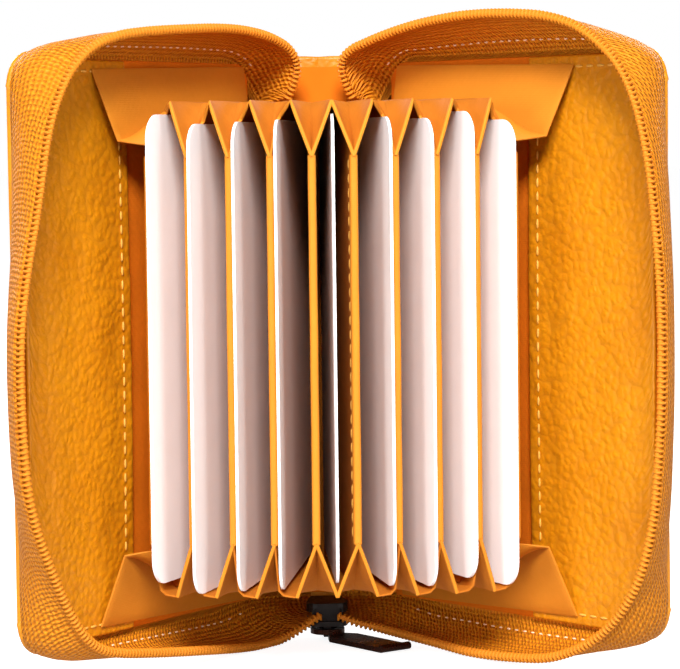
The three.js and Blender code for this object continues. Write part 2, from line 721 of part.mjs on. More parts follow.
const coverFinish = {
  leather: [colours.leather, 0.55],
  board: [colours.board, 0.9],
  lining: [colours.lining, 0.85],
  slip_pocket: [colours.leather, 0.5],
  zip_tape: [colours.tape, 0.9],
};

const holder = new THREE.Group();
holder.add(spine());

for (const [side, sign, opening] of [['left', -1, LEFT_OPENING], ['right', 1, RIGHT_OPENING]]) {
  const sided = (geometry) => (sign < 0 ? geometry.clone() : mirrored(geometry));
  const opened = new THREE.Group();
  opened.position.x = sign * HINGE_X;
  opened.rotation.z = sign * opening;
  for (const [piece, geometry] of Object.entries(cover)) {
    opened.add(named(`${side}_cover_${piece}`, sided(geometry), finish(...coverFinish[piece])));
  }
  opened.add(named(`${side}_zip_coil`, sided(zipCoil(sign < 0 ? 0 : 1)), finish(colours.coil, 0.4)));
  holder.add(opened);
  holder.add(
    named(`${side}_hinge_fold`, sided(hingeFold(opening)), finish(colours.leather, 0.55)),
    named(`${side}_zip_tail_top`, sided(topTail(opening)), finish(colours.tape, 0.9)),
    named(`${side}_zip_tail_bottom`, sided(bottomTail(opening)), finish(colours.tape, 0.9)),
    named(`${side}_end_gusset_top`, sided(endGusset(opening)), finish(colours.pocket, 0.85)),
    named(`${side}_end_gusset_bottom`, sided(overturned(endGusset(opening))), finish(colours.pocket, 0.85)),
  );
}

const wallNames = ['left_end_wall'];
for (let n = 1; n < CARD_COUNT; n += 1) {
  wallNames.push(`divider_${n}`);
}
wallNames.push('right_end_wall');

wallNames.forEach((name, k) => {
  const wall = named(name, pocketWall(), finish(colours.pocket, 0.8));
  wall.position.copy(wallBack(k));
  wall.rotation.z = fanAngle(k);
  holder.add(wall);
});

// Cards left of the middle lean on the wall to their left, those right of it on the wall to
// their right, and the middle card stands straight.
const middleCard = (CARD_COUNT - 1) / 2;
for (let k = 0; k < CARD_COUNT; k += 1) {
  const cardSide = ['right', 'middle', 'left'][Math.sign(middleCard - k) + 1];
  const piece = named(`card_${k + 1}`, card(CARD_STANDS_OUT[k]), finish(colours.card, 0.45));
  if (cardSide === 'middle') {
    piece.position.set(0, WALL_BACK_Y, CARD_LIFTS[k]);
  } else {
    const wall = cardSide === 'left' ? k : k + 1;
    const offset = cardSide === 'left' ? CARD_OFFSET : -CARD_OFFSET;
    piece.position.copy(besideWall(wall, 0, offset, CARD_LIFTS[k]));
    piece.rotation.z = fanAngle(wall);
  }
  holder.add(piece);
  holder.add(named(`pocket_fabric_${k + 1}`, pocketFabric(k, cardSide), finish(colours.pocket, 0.85)));
}

const slider = new THREE.Group();
slider.position.set(0, SLIDER_Y, SLIDER_Z);
const bail = named('zip_bail', zipBail(), finish(colours.metal, 0.35, 0.9));
bail.position.z = -SLIDER_HEIGHT / 2 - GLUE_LINE;
const pull = named('zip_pull_tab', pullTab(), finish(colours.metal, 0.4, 0.85));
pull.position.set(0, -BAIL_LENGTH / 2 + BAIL_BAR / 2, -SLIDER_HEIGHT / 2 - GLUE_LINE - BAIL_OPENING / 2);
pull.rotation.z = PULL_TURN;
slider.add(named('zip_slider', zipSlider(), finish(colours.metal, 0.35, 0.9)), bail, pull);
holder.add(slider);

// The origin is under the middle of the footprint.
const footprint = new THREE.Box3().setFromObject(holder, true);
holder.position.x = -(footprint.min.x + footprint.max.x) / 2;
holder.position.y = -(footprint.min.y + footprint.max.y) / 2;

const model = new THREE.Group();
model.add(holder);

export default model;
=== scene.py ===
"""Dresses the zip card holder: leather covers, slip pockets, knitted zip tape with its coil, the fan of
folded card pockets with hems and stitching, cards, slider and pull tab, on a plain studio stage."""

import json
import math

import bpy
import numpy as np
from mathutils import Matrix, Vector, noise


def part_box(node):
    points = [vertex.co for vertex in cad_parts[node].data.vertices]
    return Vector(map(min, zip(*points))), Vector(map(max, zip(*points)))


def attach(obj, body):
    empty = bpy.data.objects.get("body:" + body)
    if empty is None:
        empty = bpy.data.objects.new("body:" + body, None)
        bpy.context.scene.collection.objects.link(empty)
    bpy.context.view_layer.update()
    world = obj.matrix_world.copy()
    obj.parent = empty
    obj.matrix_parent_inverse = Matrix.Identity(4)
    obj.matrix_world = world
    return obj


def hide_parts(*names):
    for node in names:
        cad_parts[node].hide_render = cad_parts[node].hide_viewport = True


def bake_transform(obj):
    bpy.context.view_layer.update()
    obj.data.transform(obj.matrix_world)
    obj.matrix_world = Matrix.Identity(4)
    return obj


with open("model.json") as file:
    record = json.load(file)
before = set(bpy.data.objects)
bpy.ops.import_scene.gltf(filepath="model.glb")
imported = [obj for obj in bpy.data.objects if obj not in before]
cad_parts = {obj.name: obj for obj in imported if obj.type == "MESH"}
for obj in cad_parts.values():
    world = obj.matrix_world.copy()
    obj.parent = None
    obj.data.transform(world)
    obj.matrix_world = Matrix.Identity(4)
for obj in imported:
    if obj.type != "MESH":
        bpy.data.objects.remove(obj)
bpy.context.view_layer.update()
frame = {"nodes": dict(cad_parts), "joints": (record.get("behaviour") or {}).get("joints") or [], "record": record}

bl_info = {
    "name": "Zip card holder",
    "version": (1, 0, 0),
    "blender": (4, 5, 0),
    "location": "3D View > Sidebar > Card holder",
    "description": "Makes the leather, fabric, zip and stitching of a zip-around card holder",
    "category": "Add Mesh",
}

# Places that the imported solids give, in millimetres
MM = 0.001
JOINTS = {joint["name"]: joint for joint in frame["joints"]}
COUPLINGS = {c["joint"]: c for c in frame["record"]["behaviour"]["couplings"]}
RIGHT_X, HINGE_Y, MIDDLE_Z = (v / MM for v in JOINTS["right_cover_hinge"]["pos_m"])
LEFT_X = JOINTS["left_cover_hinge"]["pos_m"][0] / MM
MIDDLE_X = (LEFT_X + RIGHT_X) / 2
HINGE_X = (RIGHT_X - LEFT_X) / 2
OPENING = {s: -math.radians(JOINTS[f"{s}_cover_hinge"]["range_deg"][0]) for s in ("left", "right")}
WALL_BACK_Y = JOINTS["divider_4_fold"]["pos_m"][1] / MM
WALL_PITCH = (JOINTS["divider_5_fold"]["pos_m"][0] - JOINTS["divider_4_fold"]["pos_m"][0]) / MM
FAN_STEP = COUPLINGS["divider_3_fold"]["ratio"] * OPENING["left"]
COVER_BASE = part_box("left_cover_leather")[0][2] / MM
COVER_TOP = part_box("left_cover_leather")[1][2] / MM
POCKET_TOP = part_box("pocket_fabric_5")[1][2] / MM
POCKET_HALF = POCKET_TOP - MIDDLE_Z
WALLS = ["left_end_wall"] + [f"divider_{n}" for n in range(1, 9)] + ["right_end_wall"]
SIDES = {"left": -1, "right": 1}

# Sizes of the dressing, in millimetres. A name that ends in _H is a height off the cover's middle layer,
# and one that ends in _R is a distance from a pocket wall's back edge.
COVER_WIDTH = 75.0
COVER_CORNER = 6.5
COVER_STRAIGHT = COVER_WIDTH - COVER_CORNER
CORNER_STEPS = 9
RIM_MIDDLE = (35.0, MIDDLE_Z)
SPINE_STATIONS = (0.0, 2.5, 5.0, 7.5, 9.5, 11.2, 12.4)
FOLD_STEPS = 6
LEATHER_H = -1.05
LEATHER_THICKNESS = 1.0
LEATHER_INSET = 0.7
LEATHER_TRIM = 0.3
LINING_H = 0.45
LINING_THICKNESS = 0.4
LINING_START = 2.6
LINING_INSET = 1.6
SLIP_H = 1.15
SLIP_THICKNESS = 0.8
SLIP_EDGE = {"left": 44.0, "right": 42.3}
SLIP_WRINKLE = {"left": 0.3, "right": 0.16}
SLIP_SEAM = 1.8
SLIP_INSET = 1.9
SLIP_FREE = 18.0
SLIP_HALF = 52.0
SLIP_STITCH_INSET = 3.6
SLIP_EDGE_STITCH = 2.2
RIM_STITCH_INSET = 2.4
STITCH_LIFT = 0.05
TAPE_THICKNESS = 0.6
TAPE_STEP = 1.6
TAPE_ALLOWANCE = 2.8
TAPE_SEAM_DROP = 0.1
TAPE_SEAM_INSET = 0.35
TAPE_UNDER_COIL = 0.9
TAPE_HANDLE = 1.33
TAPE_LONG = 6.0
TAPE_BELLY = {"short": 1.3, "long": 1.4}
TAPE_SEAM_STITCH = (1.0, 0.4, 0.35)
COIL_LIFT = 0.15
COIL_TURN = (0.74, 1.8, 1.9)
COIL_CORD = 0.9
COIL_CORD_LIFT = 0.35
COIL_CORD_INSET = 0.1
MIDDLE_WALL = 4.5
MIDDLE_POCKET = 4
WALL_DEPTH = 54.8
WALL_BACK = 1.4
WALL_SHORT = 1.5
WALL_THICKNESS = 1.0
WALL_FRONT = 1.0
WALL_FRONT_RISE = 0.6
BINDING_BACK = 1.35
BINDING_DEPTH = 3.0
POCKET_BACK = 1.6
POCKET_CEILING = 0.3
POCKET_SAG = 0.5
POCKET_THICKNESS = 0.4
HEM_THICKNESS = 0.7
MOUTH_DROP = 10.0
MOUTH_DEPTH = 9.0
MOUTH_LEAN = 2.0
MOUTH_PEAK = 0.35
MOUTH_AHEAD = 0.1
BEHIND_CARD = {"top": 6.0, "bottom": 2.4}
CARD_OFFSET = 1.05
GUSSET_STEPS = (0, 0.03, 0.06, 0.09, 0.12, 0.16, 0.22, 0.3, 0.4, 0.5, 0.62, 0.75, 0.88, 1)
GUSSET_FRONT = 54.0
GUSSET_RUN = 48.0
GUSSET_H = 1.9
GUSSET_OFF_WALL = 0.75
GUSSET_THICKNESS = 0.45
GUSSET_LEVEL = 51.3
GUSSET_CLIMB = 1.2
GUSSET_WALL_FRONT = 49.5
GUSSET_WALL_RUN = 46.5
GUSSET_DIP_END = 0.12
GUSSET_DIP_BACK = 3.0
GUSSET_DIP_DOWN = 6.0
GUSSET_FOLD = 0.64
GUSSET_FOLD_TOP = 2.0
GUSSET_FOLD_DROP = 5.2

# The zip's line on each cover, read off the photo: distance from the hinge, height off the cover and level.
# The stations of a loose end also have the seam that the tape rises from, the same for both covers.
TAIL_SEAMS = {
    "top": [(0.5, 3.0, 105.2), (1.0, 1.2, 108.6), (3.0, 0.3, 111.8), (6.0, 0.0, 114.0)],
    "bottom": [(8.0, 0.0, 6.6), (3.0, 0.0, 6.6), (-2.0, 2.8, 6.6), (-6.0, 8.3, 6.6)],
}
TAIL_LINES = {
    "left": {
        "top": [(0.8, 9.0, 107.0), (1.2, 11.2, 111.0), (2.2, 12.0, 114.0), (5.1, 12.0, 116.5)],
        "bottom": [(9.5, 12.6, 1.2), (6.5, 14.2, 2.6), (4.4, 15.4, 3.9), (3.2, 16.4, 4.7)],
    },
    "right": {
        "top": [(0.3, 9.0, 107.0), (0.2, 11.2, 111.0), (1.0, 12.0, 114.2), (4.0, 12.0, 116.2)],
        "bottom": [(9.5, 12.6, 2.9), (6.5, 14.2, 3.5), (4.4, 15.4, 4.2), (3.2, 16.4, 4.7)],
    },
}
ZIP_LINE = {
    "left": [
        (9.4, 118.0), (14.5, 119.0), (21.1, 119.6), (27.7, 119.7), (34.1, 119.5), (46.6, 118.8),
        (52.7, 118.3), (58.6, 117.6), (64.5, 116.2), (68.9, 114.2), (72.6, 111.5), (75.5, 108.2),
        (78.2, 103.7), (80.3, 98.2), (82.0, 91.3), (83.6, 85.0), (86.2, 76.0), (88.0, 67.4),
        (88.6, 60.0), (88.5, 53.0), (88.0, 45.0), (86.9, 37.5), (84.9, 31.4), (82.2, 25.7),
        (79.0, 20.0), (75.8, 15.1), (72.2, 10.9), (67.7, 7.9), (61.8, 6.2), (49.8, 4.4),
        (37.2, 2.8), (24.1, 1.3), (14.5, 0.7),
    ],
    "right": [
        (7.5, 117.2), (11.9, 118.3), (17.7, 119.5), (23.4, 120.4), (28.9, 121.0), (34.4, 121.4),
        (39.8, 121.5), (45.2, 121.4), (50.4, 121.1), (55.6, 120.6), (60.6, 119.6), (64.4, 118.4),
        (68.1, 116.5), (71.8, 114.0), (74.7, 111.3), (77.3, 107.7), (79.5, 103.0), (81.1, 97.8),
        (82.3, 92.5), (83.2, 86.4), (84.4, 76.0), (85.0, 65.3), (84.9, 52.1), (84.3, 43.0),
        (83.4, 34.2), (82.6, 29.7), (81.4, 25.2), (79.7, 20.5), (77.2, 16.2), (74.0, 12.2),
        (70.5, 9.1), (67.2, 6.9), (63.4, 5.0), (58.3, 3.2), (53.1, 2.2), (43.8, 1.4),
        (35.6, 1.2), (30.1, 1.5), (24.5, 1.9), (15.0, 2.4),
    ],
}
ZIP_H = 12.0


def srgb(red, green, blue):
    """A colour given in screen values as the linear values that shaders use."""
    values = []
    for v in (red, green, blue):
        c = v / 255
        values.append(c / 12.92 if c <= 0.04045 else ((c + 0.055) / 1.055) ** 2.4)
    return tuple(values)


def colour_property(name, description, default):
    return bpy.props.FloatVectorProperty(
        name=name, description=description, default=srgb(*default), subtype="COLOR", size=3, min=0, max=1
    )


def length_property(name, description, default):
    return bpy.props.FloatProperty(
        name=name, description=description, default=default * MM, unit="LENGTH", subtype="DISTANCE", min=0
    )


class CardHolderColours(bpy.types.PropertyGroup):
    """Colours of the card holder's finishes."""

    leather: colour_property("Leather", "Outer leather and slip pockets", (206, 131, 9))
    leather_dark: colour_property("Leather, worn in", "Darker parts of the dyed leather", (192, 115, 4))
    lining: colour_property("Lining", "Woven lining of covers and spine", (232, 118, 12))
    fabric: colour_property("Pocket fabric", "Folded fabric of the card pockets", (188, 106, 24))
    # Also the end gussets' colour: painted light, lighter than the pocket fabric, to brighten them where the tape
    # shades them
    hem: colour_property("Hems", "Folded hems and binding strips", (206, 126, 30))
    tape: colour_property("Zip tape", "Knitted tape of the zip", (214, 130, 16))
    # Painted shade: the colour that the knit's low places between its ribs are tinted towards
    tape_gap: colour_property("Zip tape, gaps", "Gaps between the tape's knitted ribs", (172, 88, 6))
    coil: colour_property("Zip coil", "Coil and smooth lip of the zip", (204, 122, 26))
    thread: colour_property("Thread", "Stitching on leather and dividers", (232, 170, 62))
    pale_thread: colour_property("Pale thread", "Thread of the tape's seam", (246, 208, 170))
    card: colour_property("Card", "Plain cards", (250, 246, 245))
    board: colour_property("Board", "Stiff board inside the covers", (138, 106, 74))
    slider: colour_property("Slider", "Dark slider and bail", (38, 32, 30))
    pull: colour_property("Pull tab", "Bronzed pull tab", (62, 30, 16))


class CardHolderSizes(bpy.types.PropertyGroup):
    """Sizes of the repeated details."""

    coil_pitch: length_property("Coil pitch", "Distance from one coil turn to the next", 0.95)
    stitch_pitch: length_property("Stitch pitch", "Distance from one stitch to the next", 2.6)
    stitch_length: length_property("Stitch length", "Visible length of a stitch", 1.9)
    thread_width: length_property("Thread width", "Width of the stitching thread", 0.5)
    hem_width: length_property("Hem width", "Width of the hems on the pocket mouths", 0.7)
    binding_width: length_property("Binding width", "Width of a divider's front binding", 1.5)


def colours():
    return bpy.context.scene.card_holder_colours


def sizes():
    return bpy.context.scene.card_holder_sizes


# Places on the covers and beside the pocket walls


def on_cover(side, u, h, z):
    """A point at distance u from the hinge and height h off the cover's middle layer."""
    sine, cosine = math.sin(OPENING[side]), math.cos(OPENING[side])
    x = MIDDLE_X + SIDES[side] * (HINGE_X + u * sine - h * cosine)
    return np.array((x, HINGE_Y - u * cosine - h * sine, z))


def cover_way(side, u=0.0, h=1.0, z=0.0):
    """A way given along the cover, off its inner face and upwards, in the shared frame."""
    return on_cover(side, u, h, z) - on_cover(side, 0, 0, 0)


def fan_ways(k):
    """The ways to the right of wall k and out along its depth."""
    a = (k - MIDDLE_WALL) * FAN_STEP
    return np.array((math.cos(a), math.sin(a), 0.0)), np.array((math.sin(a), -math.cos(a), 0.0))


def beside_wall(k, r, offset, z):
    """A point at distance r from wall k's back edge, offset to its right."""
    sideways, forward = fan_ways(k)
    back = np.array((MIDDLE_X + (k - MIDDLE_WALL) * WALL_PITCH, WALL_BACK_Y, z))
    return back + forward * r + sideways * offset


def metres(point):
    return tuple(v * MM for v in point)


def corner_drop(u, inset=0.0):
    """How far the cover's rounded corner falls below its straight edge at u."""
    radius = COVER_CORNER - inset
    reach = u - COVER_STRAIGHT
    if reach <= 0:
        return 0.0
    return radius - math.sqrt(max(0.0, radius * radius - min(reach, radius) ** 2))


def rim_point(u, z):
    """Where the line from the cover's middle through (u, z) meets the cover's rounded edge."""
    du, dz = u - RIM_MIDDLE[0], z - RIM_MIDDLE[1]
    low, high = 0.0, 1.5
    for _ in range(40):
        t = (low + high) / 2
        pu, pz = RIM_MIDDLE[0] + du * t, RIM_MIDDLE[1] + dz * t
        limit = (COVER_TOP - COVER_BASE) / 2 - corner_drop(pu)
        inside = pu <= COVER_WIDTH and abs(pz - MIDDLE_Z) <= limit
        low, high = (t, high) if inside else (low, t)
    return (RIM_MIDDLE[0] + du * low, RIM_MIDDLE[1] + dz * low)


def smooth_path(points, step):
    """Points evenly spaced on a smooth curve through the given ones."""
    p = np.array(points, float)
    p = np.vstack([2 * p[0] - p[1], p, 2 * p[-1] - p[-2]])
    fine = []
    for i in range(1, len(p) - 2):
        a, b, c, d = p[i - 1:i + 3]
        square = 2 * a - 5 * b + 4 * c - d
        cube = 3 * b - a - 3 * c + d
        for t in np.linspace(0, 1, 16, endpoint=False):
            fine.append(0.5 * (2 * b + (c - a) * t + square * t * t + cube * t ** 3))
    fine.append(p[-2])
    fine = np.array(fine)
    run = np.concatenate([[0], np.cumsum(np.linalg.norm(np.diff(fine[:, :3], axis=0), axis=1))])
    count = max(2, int(round(run[-1] / step)) + 1)
    at = np.linspace(0, run[-1], count)
    return np.stack([np.interp(at, run, fine[:, k]) for k in range(fine.shape[1])], 1)


def unit(v):
    v = np.asarray(v, float)
    return v / np.maximum(np.linalg.norm(v, axis=-1, keepdims=True), 1e-9)


def ripple(point, scale, seed):
    """Smooth noise at a point, from -1 to 1."""
    return noise.noise(Vector((point[0] / scale + seed, point[1] / scale, point[2] / scale)))


# Mesh makers


def mesh_object(name, verts, faces, uvs, material, sharp=None):
    """A mesh object from points in millimetres, with a UV of centimetres for each point."""
    mesh = bpy.data.meshes.new(name)
    mesh.from_pydata([metres(v) for v in verts], [], faces)
    layer = mesh.uv_layers.new(name="UVMap")
    index = np.empty(len(mesh.loops), np.int32)
    mesh.loops.foreach_get("vertex_index", index)
    layer.data.foreach_set("uv", (np.asarray(uvs, float)[index] * 0.1).astype(np.float32).ravel())
    mesh.materials.append(material)
    mesh.shade_smooth()
    if sharp is not None:
        mesh.set_sharp_from_angle(angle=math.radians(sharp))
    mesh.validate()
    obj = bpy.data.objects.new(name, mesh)
    bpy.context.scene.collection.objects.link(obj)
    return obj


def grid_uv(grid):
    along = np.linalg.norm(np.diff(grid, axis=0), axis=2)
    across = np.linalg.norm(np.diff(grid, axis=1), axis=2)
    s = np.concatenate([np.zeros((1, grid.shape[1])), np.cumsum(along, axis=0)])
    t = np.concatenate([np.zeros((grid.shape[0], 1)), np.cumsum(across, axis=1)], axis=1)
    return np.stack([s, t], 2)


def sheet_body(grid, thickness, rim_steps=3):
    """A sheet of even thickness round a grid of points, with rounded edges: points, faces and UVs."""
    grid = np.asarray(grid, float)
    n, m = grid.shape[:2]
    di = np.gradient(grid, axis=0)
    dj = np.gradient(grid, axis=1)
    normal = unit(np.cross(di, dj))
    half = np.broadcast_to(np.asarray(thickness, float) / 2, (n, m))[..., None]
    uv = grid_uv(grid)
    verts = [*(grid + normal * half).reshape(-1, 3), *(grid - normal * half).reshape(-1, 3)]
    uvs = [*uv.reshape(-1, 2), *uv.reshape(-1, 2)]
    faces = []
    lower = n * m
    for i in range(n - 1):
        for j in range(m - 1):
            a, b, c, d = i * m + j, (i + 1) * m + j, (i + 1) * m + j + 1, i * m + j + 1
            faces.append((a, b, c, d))
            faces.append((lower + d, lower + c, lower + b, lower + a))
    ring = [(i, 0) for i in range(n - 1)] + [(n - 1, j) for j in range(m - 1)]
    ring += [(i, m - 1) for i in range(n - 1, 0, -1)] + [(0, j) for j in range(m - 1, 0, -1)]
    outward = []
    for i, j in ring:
        o = np.zeros(3)
        o += -unit(dj[i, j]) if j == 0 else 0
        o += unit(dj[i, j]) if j == m - 1 else 0
        o += -unit(di[i, j]) if i == 0 else 0
        o += unit(di[i, j]) if i == n - 1 else 0
        o = o - normal[i, j] * np.dot(o, normal[i, j])
        outward.append(unit(o))
    loops = [[i * m + j for i, j in ring]]
    for step in range(1, rim_steps + 1):
        angle = math.pi / 2 - math.pi * step / (rim_steps + 1)
        first = len(verts)
        for (i, j), o in zip(ring, outward):
            reach = half[i, j]
            verts.append(grid[i, j] + o * reach * math.cos(angle) + normal[i, j] * reach * math.sin(angle))
            uvs.append(uv[i, j])
        loops.append(list(range(first, first + len(ring))))
    loops.append([lower + i * m + j for i, j in ring])
    count = len(ring)
    for upper, under in zip(loops, loops[1:]):
        for k in range(count):
            nxt = (k + 1) % count
            faces.append((upper[k], under[k], under[nxt], upper[nxt]))
    return verts, faces, uvs


def sheet_piece(name, grid, thickness, material, sharp=None):
    return mesh_object(name, *sheet_body(grid, thickness), material, sharp)


def merged(*bodies):
    """Several bodies' points, faces and UVs as one."""
    verts, faces, uvs = [], [], []
    for v, f, t in bodies:
        base = len(verts)
        verts += list(v)
        faces += [tuple(base + k for k in face) for face in f]
        uvs += list(t)
    return verts, faces, uvs


def swept_body(path, across, up, section):
    """A closed section of (across, up) places swept along a path, with its ends closed."""
    path, across, up = (np.asarray(v, float) for v in (path, across, up))
    count = len(section)
    run = np.concatenate([[0], np.cumsum(np.linalg.norm(np.diff(path, axis=0), axis=1))])
    verts, uvs, faces = [], [], []
    for p, a, b, s in zip(path, across, up, run):
        for k, (x, y) in enumerate(section):
            verts.append(p + a * x + b * y)
            uvs.append((s, k * 0.4))
    for i in range(len(path) - 1):
        for k in range(count):
            nxt = (k + 1) % count
            faces.append((i * count + k, i * count + nxt, (i + 1) * count + nxt, (i + 1) * count + k))
    last = (len(path) - 1) * count
    faces.append(tuple(range(count))[::-1])
    faces.append(tuple(last + k for k in range(count)))
    tangent = path[1] - path[0]
    if np.dot(np.cross(across[0], up[0]), tangent) * turning(section) < 0:
        faces = [face[::-1] for face in faces]
    return verts, faces, uvs


def turning(section):
    """The signed area of a closed section."""
    return sum(a[0] * b[1] - b[0] * a[1] for a, b in zip(section, section[1:] + section[:1])) / 2


def rounded_section(width, height, steps=3, power=0.5):
    """A rounded oblong of the given width and height, as a closed list of places."""
    places = []
    for k in range(4 * steps):
        a = 2 * math.pi * k / (4 * steps)
        c, s = math.cos(a), math.sin(a)
        places.append(
            (width / 2 * math.copysign(abs(c) ** power, c), height / 2 * math.copysign(abs(s) ** power, s))
        )
    return places


# Finishes


def new_group(name, knob, value, outputs):
    """A shader node group that takes a vector and one scale, with the sockets to link inside it."""
    group = bpy.data.node_groups.new(name, "ShaderNodeTree")
    group.interface.new_socket(name="Vector", in_out="INPUT", socket_type="NodeSocketVector")
    scale = group.interface.new_socket(name=knob, in_out="INPUT", socket_type="NodeSocketFloat")
    scale.default_value = value
    for label in outputs:
        group.interface.new_socket(name=label, in_out="OUTPUT", socket_type="NodeSocketFloat")
    inp = group.nodes.new("NodeGroupInput")
    return group, inp.outputs["Vector"], inp.outputs[knob], group.nodes.new("NodeGroupOutput")


def linked(tree, kind, feeds, **settings):
    """A node with settings, whose inputs take the given values or links."""
    node = tree.nodes.new(kind)
    for key, value in settings.items():
        setattr(node, key, value)
    for key, value in feeds.items():
        if isinstance(value, bpy.types.NodeSocket):
            tree.links.new(value, node.inputs[key])
        else:
            node.inputs[key].default_value = value
    return node


def mathed(tree, operation, a, b=None, c=None, clamp=False):
    feeds = {k: v for k, v in enumerate((a, b, c)) if v is not None}
    return linked(tree, "ShaderNodeMath", feeds, operation=operation, use_clamp=clamp).outputs[0]


def noised(tree, vector, scale, detail, roughness=0.5, distortion=0.0, output="Fac"):
    """A noise texture's output."""
    feeds = {"Vector": vector, "Scale": scale, "Detail": detail, "Roughness": roughness}
    feeds["Distortion"] = distortion
    return linked(tree, "ShaderNodeTexNoise", feeds).outputs[output]


def waved(tree, vector, scale, direction, distortion=0.0, detail=2.0, detail_scale=1.0):
    """The bands of a wave texture that run across the given direction."""
    feeds = {"Vector": vector, "Scale": scale, "Distortion": distortion, "Detail": detail}
    feeds["Detail Scale"] = detail_scale
    return linked(tree, "ShaderNodeTexWave", feeds, bands_direction=direction).outputs["Fac"]


def ranged(tree, value, low, high, first=0.0, last=1.0):
    """A value carried from the range low to high into the range first to last."""
    return linked(tree, "ShaderNodeMapRange", {0: value, 1: low, 2: high, 3: first, 4: last}).outputs[0]


def leather_grain_group():
    """Soft leather: low rounded pebbles over broader wrinkles."""
    group, vector, scale, out = new_group("Pebbled leather", "Cells", 8.0, ("Height", "Crease"))
    bend = noised(group, vector, 3.0, 2.0, output="Color")
    shift = linked(group, "ShaderNodeVectorMath", {0: bend, "Scale": 0.1}, operation="SCALE").outputs[0]
    place = linked(group, "ShaderNodeVectorMath", {0: vector, 1: shift}, operation="ADD").outputs[0]
    feeds = {"Vector": place, "Scale": scale, "Smoothness": 0.35}
    cells = linked(group, "ShaderNodeTexVoronoi", feeds, feature="SMOOTH_F1").outputs["Distance"]
    wrinkle = noised(group, place, 2.6, 3.0, distortion=0.8)
    fine = noised(group, vector, 30.0, 3.0)
    height = mathed(group, "MULTIPLY_ADD", fine, 0.2, mathed(group, "MULTIPLY", cells, -1.2))
    height = mathed(group, "MULTIPLY_ADD", wrinkle, 1.5, height)
    group.links.new(height, out.inputs["Height"])
    # Painted shade: the creases between the pebbles, which the material tints darker
    group.links.new(ranged(group, cells, 0.25, 0.85), out.inputs["Crease"])
    return group


def weave_group():
    """Fine twill: crossing threads with a slanting rib and slubs."""
    group, vector, threads, out = new_group("Fine twill", "Threads", 7.0, ("Height", "Slub"))
    warp = waved(group, vector, threads, "X", 0.6, 1.0)
    weft = waved(group, vector, threads, "Y", 0.6, 1.0)
    rib = waved(group, vector, mathed(group, "MULTIPLY", threads, 0.5), "DIAGONAL")
    slub = noised(group, vector, 9.0, 4.0, 0.6)
    height = mathed(group, "MULTIPLY_ADD", rib, 0.5, mathed(group, "MULTIPLY", warp, weft))
    height = mathed(group, "MULTIPLY_ADD", slub, 0.6, height)
    group.links.new(height, out.inputs["Height"])
    group.links.new(slub, out.inputs["Slub"])
    return group


def knit_group():
    """Knitted zip tape: wavy ribs across the tape, broken by rows along it."""
    group, vector, ribs, out = new_group("Knitted tape", "Ribs", 3.6, ("Height", "Gap"))
    rib = waved(group, vector, ribs, "X", 3.2, 1.5, 2.2)
    row = waved(group, vector, mathed(group, "MULTIPLY", ribs, 0.8), "Y", 2.4, 1.0, 2.0)
    fuzz = noised(group, vector, 26.0, 3.0)
    height = mathed(group, "MULTIPLY_ADD", row, 0.75, rib)
    height = mathed(group, "MULTIPLY_ADD", fuzz, 0.35, height)
    group.links.new(height, out.inputs["Height"])
    # Painted shade: the low places between the ribs, which the material tints towards the gap colour
    group.links.new(ranged(group, height, 1.1, 0.45), out.inputs["Gap"])
    return group


def dye_group():
    """Uneven dye: broad clouds with a finer mottle."""
    group, vector, scale, out = new_group("Uneven dye", "Clouds", 0.6, ("Amount",))
    clouds = noised(group, vector, scale, 5.0, 0.55)
    group.links.new(ranged(group, clouds, 0.32, 0.68), out.inputs["Amount"])
    return group


# Each effect's maker, the input that sets its scale, and the output that says where it tints: random tone for dye
# and weave, painted shade for the grain's creases and the knit's gaps
EFFECTS = {
    "grain": (leather_grain_group, "Cells", "Crease"),
    "weave": (weave_group, "Threads", "Slub"),
    "knit": (knit_group, "Ribs", "Gap"),
    "dye": (dye_group, "Clouds", "Amount"),
}

